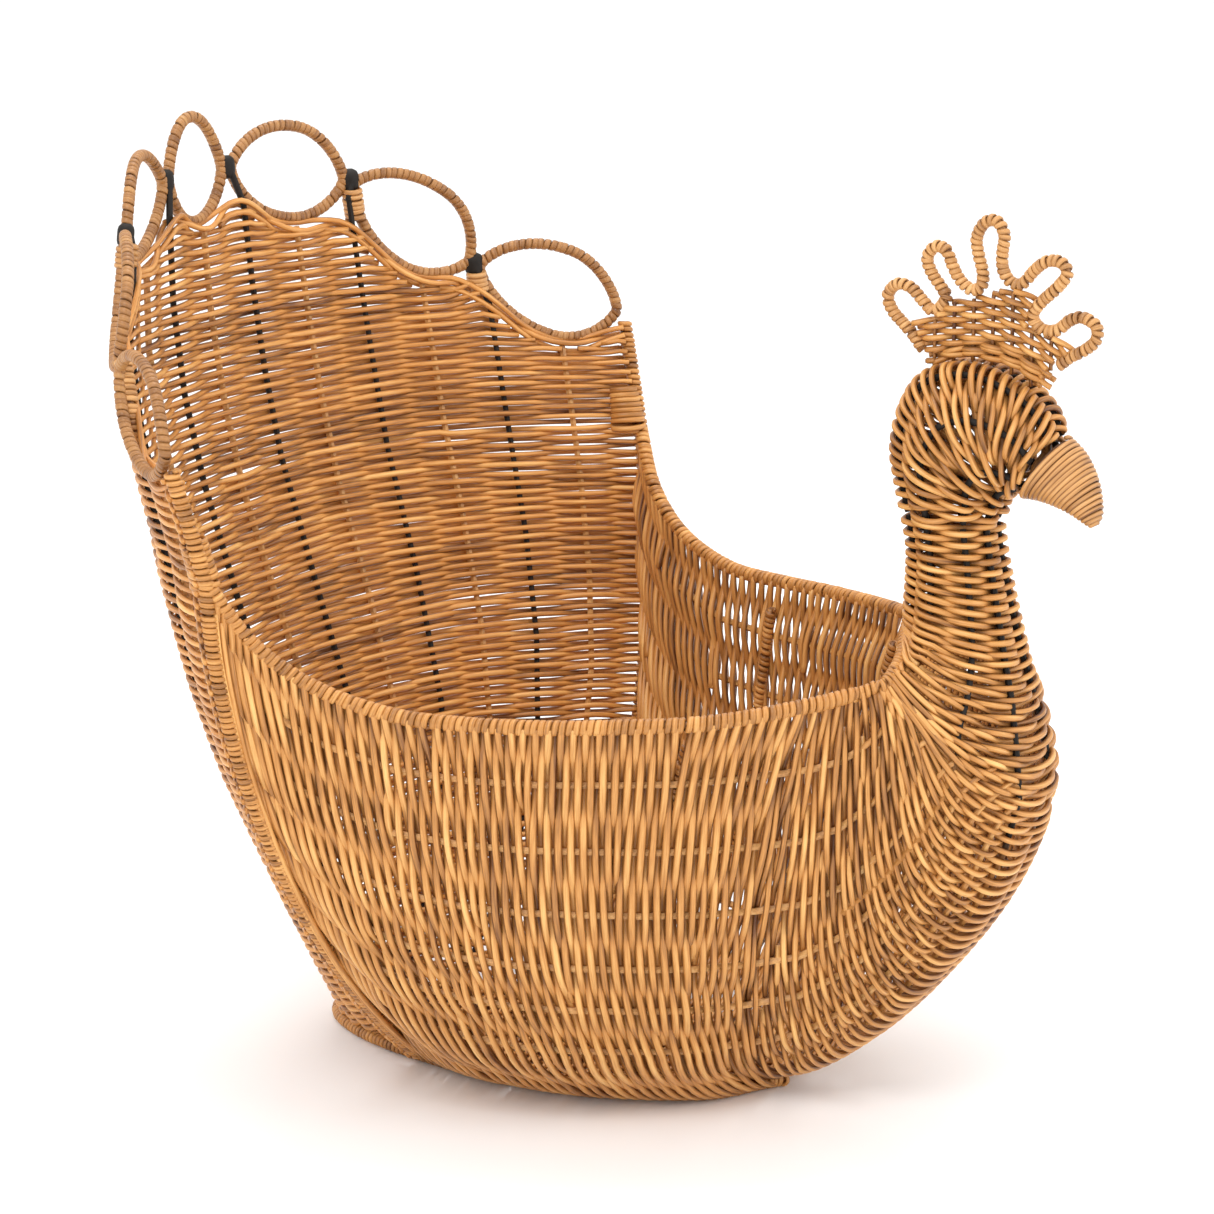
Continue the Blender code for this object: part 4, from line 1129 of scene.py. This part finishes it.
# Crest: one iron wire bent into five loops and wound with pale peel. It stands on the
# crown, with a small woven fan filling the space below it.
crest_height = 0.060
crest_wire_radius = 0.00265
crest_core = crest_wire_radius - 0.0011
crest_pitch = 0.0024
crest_strip = 0.0012
crest_thick = 0.00055
crest_middle_x = head_middle_x + 0.2 * head_length
crest_middle_z = head_middle_z + 0.9925 * head_height
crest_wire_shares = np.array([
    (-0.519, 0.038), (-0.582, 0.121), (-0.663, 0.199), (-0.743, 0.278), (-0.778, 0.378),
    (-0.709, 0.46), (-0.606, 0.444), (-0.521, 0.366), (-0.431, 0.298), (-0.346, 0.394),
    (-0.375, 0.455), (-0.456, 0.558), (-0.49, 0.657), (-0.432, 0.738), (-0.353, 0.719),
    (-0.305, 0.622), (-0.257, 0.538), (-0.195, 0.482), (-0.146, 0.466), (-0.088, 0.499),
    (-0.081, 0.589), (-0.114, 0.705), (-0.13, 0.821), (-0.074, 0.926), (0.013, 0.942),
    (0.07, 0.854), (0.058, 0.735), (0.064, 0.627), (0.122, 0.544), (0.207, 0.538), (0.295, 0.638),
    (0.383, 0.703), (0.482, 0.703), (0.529, 0.632), (0.46, 0.534), (0.363, 0.442), (0.297, 0.36),
    (0.298, 0.293), (0.368, 0.241), (0.467, 0.249), (0.555, 0.321), (0.644, 0.349), (0.743, 0.299),
    (0.746, 0.207), (0.668, 0.133), (0.562, 0.073), (0.491, 0.016),
])
crest_edge_shares = np.array([
    (-0.431, 0.015), (-0.506, 0.142), (-0.548, 0.22), (-0.496, 0.238), (-0.417, 0.238),
    (-0.332, 0.319), (-0.245, 0.41), (-0.144, 0.407), (-0.026, 0.429), (0.118, 0.483),
    (0.218, 0.477), (0.278, 0.443), (0.23, 0.363), (0.223, 0.27), (0.307, 0.181), (0.469, 0.182),
    (0.542, 0.147), (0.481, 0.062), (0.42, 0.001),
])
bent = spline(crest_wire_shares, np.linspace(0, len(crest_wire_shares) - 1, 300)) * crest_height
bent_line = np.stack([crest_middle_x + bent[:, 0], np.zeros(300), crest_middle_z + bent[:, 1]], -1)
wound = winding(bent_line, (0, 1, 0), crest_core, crest_pitch, crest_strip, crest_thick)
made("crest_winding", wound, peel, "pale_cane", "crest_wire")

crest_foot = head(np.array([6.5, 6, 5.5, 5, 4.5, 4]), -1.0)
edge_x = np.concatenate([crest_middle_x + crest_edge_shares[:, 0] * crest_height, crest_foot[:, 0]])
edge_z = np.concatenate([crest_middle_z + crest_edge_shares[:, 1] * crest_height, crest_foot[:, 2]])
fan_pitch = 0.00235
fan_radius = 0.00126
fan_crossing = 0.0085
fan_reach = 0.002
fan_step = 0.0011
fan_swing = 0.0021
fan_wander = 0.00012
fan_upright = 0.0009
crown_lift = 0.0012
crown_pitch = 0.0023
crown_place_share = -0.125
fan_fall_shares = (0.25, 0.55)


def fan_fall(x):
    """How far a row of the fan lies below its highest point, as the crown curves down."""
    share = (x - crest_middle_x) / crest_height - crown_place_share
    return crest_height * np.where(share < 0, fan_fall_shares[0], fan_fall_shares[1]) * share**2


def cuts(above, places):
    """Pairs of places where a line enters and leaves the fan's outline."""
    found = []
    for first in range(len(above)):
        second = (first + 1) % len(above)
        if above[first] * above[second] < 0:
            part = above[first] / (above[first] - above[second])
            found.append(places[first] + part * (places[second] - places[first]))
    found.sort()
    return zip(found[::2], found[1::2])


fan = []
lifted = edge_z + fan_fall(edge_x)
for number, height in enumerate(np.arange(lifted.min() + fan_radius, lifted.max(), fan_pitch)):
    for low, high in cuts(lifted - height, edge_x):
        for_low = fan_reach * (height - fan_fall(low) > crest_middle_z)
        for_high = fan_reach * (height - fan_fall(high) > crest_middle_z + 0.05 * crest_height)
        count = max(5, int((high - low) / fan_step))
        x = np.linspace(low - for_low, high + for_high, count)
        wave = np.cos(math.pi * ((x - crest_middle_x) / fan_crossing + number))
        line = np.stack([x, fan_swing * wave, height - fan_fall(x) + wander(count, fan_wander)], -1)
        fan.append(strand(line, (0, 1, 0), fan_radius, fan_radius, toned(0.55)))
crown_x = np.linspace(crest_foot[-1, 0] + 0.004, crest_foot[0, 0] + 0.006, 40)
for number in range(3):
    wave = np.cos(math.pi * ((crown_x - crest_middle_x) / fan_crossing + number))
    crown_z = spline(crest_foot[::-1, 2, None], np.linspace(0, len(crest_foot) - 1, 40))[:, 0]
    line = np.stack([crown_x, fan_swing * wave, crown_z + crown_lift + number * crown_pitch], -1)
    fan.append(strand(line, (0, 1, 0), fan_radius, fan_radius, 0.6 - 0.1 * number))
for number in range(-3, 5):
    x = crest_middle_x + number * fan_crossing
    for low, high in cuts(edge_x - x, edge_z):
        line = np.stack([np.full(8, x), np.zeros(8), np.linspace(low - fan_reach, high, 8)], -1)
        fan.append(strand(line, (0, 1, 0), fan_upright, fan_upright, 0.0))
made("crest_fan", fan, cane, "natural_cane", "crest_panel")


# Studio: a plain pale floor and soft white light from above and both sides, and the
# camera at the photograph's angle, a little above the basket on its right front.
floor_corners = [(-8, -8, 0), (8, -8, 0), (8, 8, 0), (-8, 8, 0)]
floor_mesh = bpy.data.meshes.new("studio_floor")
floor_mesh.from_pydata(floor_corners, [], [(0, 1, 2, 3)])
studio_floor = bpy.data.objects.new("studio_floor", floor_mesh)
bpy.context.collection.objects.link(studio_floor)
paper = bpy.data.materials.new("pale paper")
paper.use_nodes = True
paper_shader = paper.node_tree.nodes["Principled BSDF"]
paper_shader.inputs["Base Color"].default_value = (0.94, 0.94, 0.94, 1)
paper_shader.inputs["Roughness"].default_value = 0.9
floor_mesh.materials.append(paper)

world = bpy.data.worlds.new("studio")
world.use_nodes = True
sky = world.node_tree.nodes["Background"]
sky.inputs["Color"].default_value = (1, 1, 1, 1)
sky.inputs["Strength"].default_value = 1.06
bpy.context.scene.world = world
bpy.context.scene.view_settings.view_transform = "Standard"
lit_place = (0, 0, 0.2)


def lamp(name, place, size, power):
    light = bpy.data.lights.new(name, "AREA")
    light.size = size
    light.energy = power
    shade = bpy.data.objects.new(name, light)
    shade.location = place
    shade.rotation_mode = "QUATERNION"
    shade.rotation_quaternion = (Vector(lit_place) - Vector(place)).to_track_quat("-Z", "Y")
    bpy.context.collection.objects.link(shade)


lamp("key", (0.2, -1.9, 2.1), 1.2, 25)
lamp("fill", (2.4, 0.4, 1.3), 1.4, 13)
lamp("top", (-0.4, 0.6, 2.6), 1.4, 24)

view_turn = math.radians(29)
view_rise = math.radians(14)
view_distance = 1.98
photo_pixels = 1214
focal_pixels = 4500
base_pixel_x = 558
base_pixel_y = 1044
level_part = math.cos(view_rise)
sight = np.array([-math.sin(view_turn) * level_part, math.cos(view_turn) * level_part, -math.sin(view_rise)])
right = np.array([math.cos(view_turn), math.sin(view_turn), 0])
upward = np.cross(right, sight)
right_shift = (photo_pixels / 2 - base_pixel_x) / focal_pixels * view_distance
up_shift = (base_pixel_y - photo_pixels / 2) / focal_pixels * view_distance
camera_place = -sight * view_distance + right * right_shift + upward * up_shift
camera_data = bpy.data.cameras.new("camera")
camera_data.sensor_width = 36
camera_data.lens = 36 * focal_pixels / photo_pixels
camera = bpy.data.objects.new("camera", camera_data)
rotation = np.stack([right, upward, -sight], -1)
camera.matrix_world = Matrix.Translation(camera_place) @ Matrix(rotation.tolist()).to_4x4()
bpy.context.collection.objects.link(camera)
bpy.context.scene.camera = camera
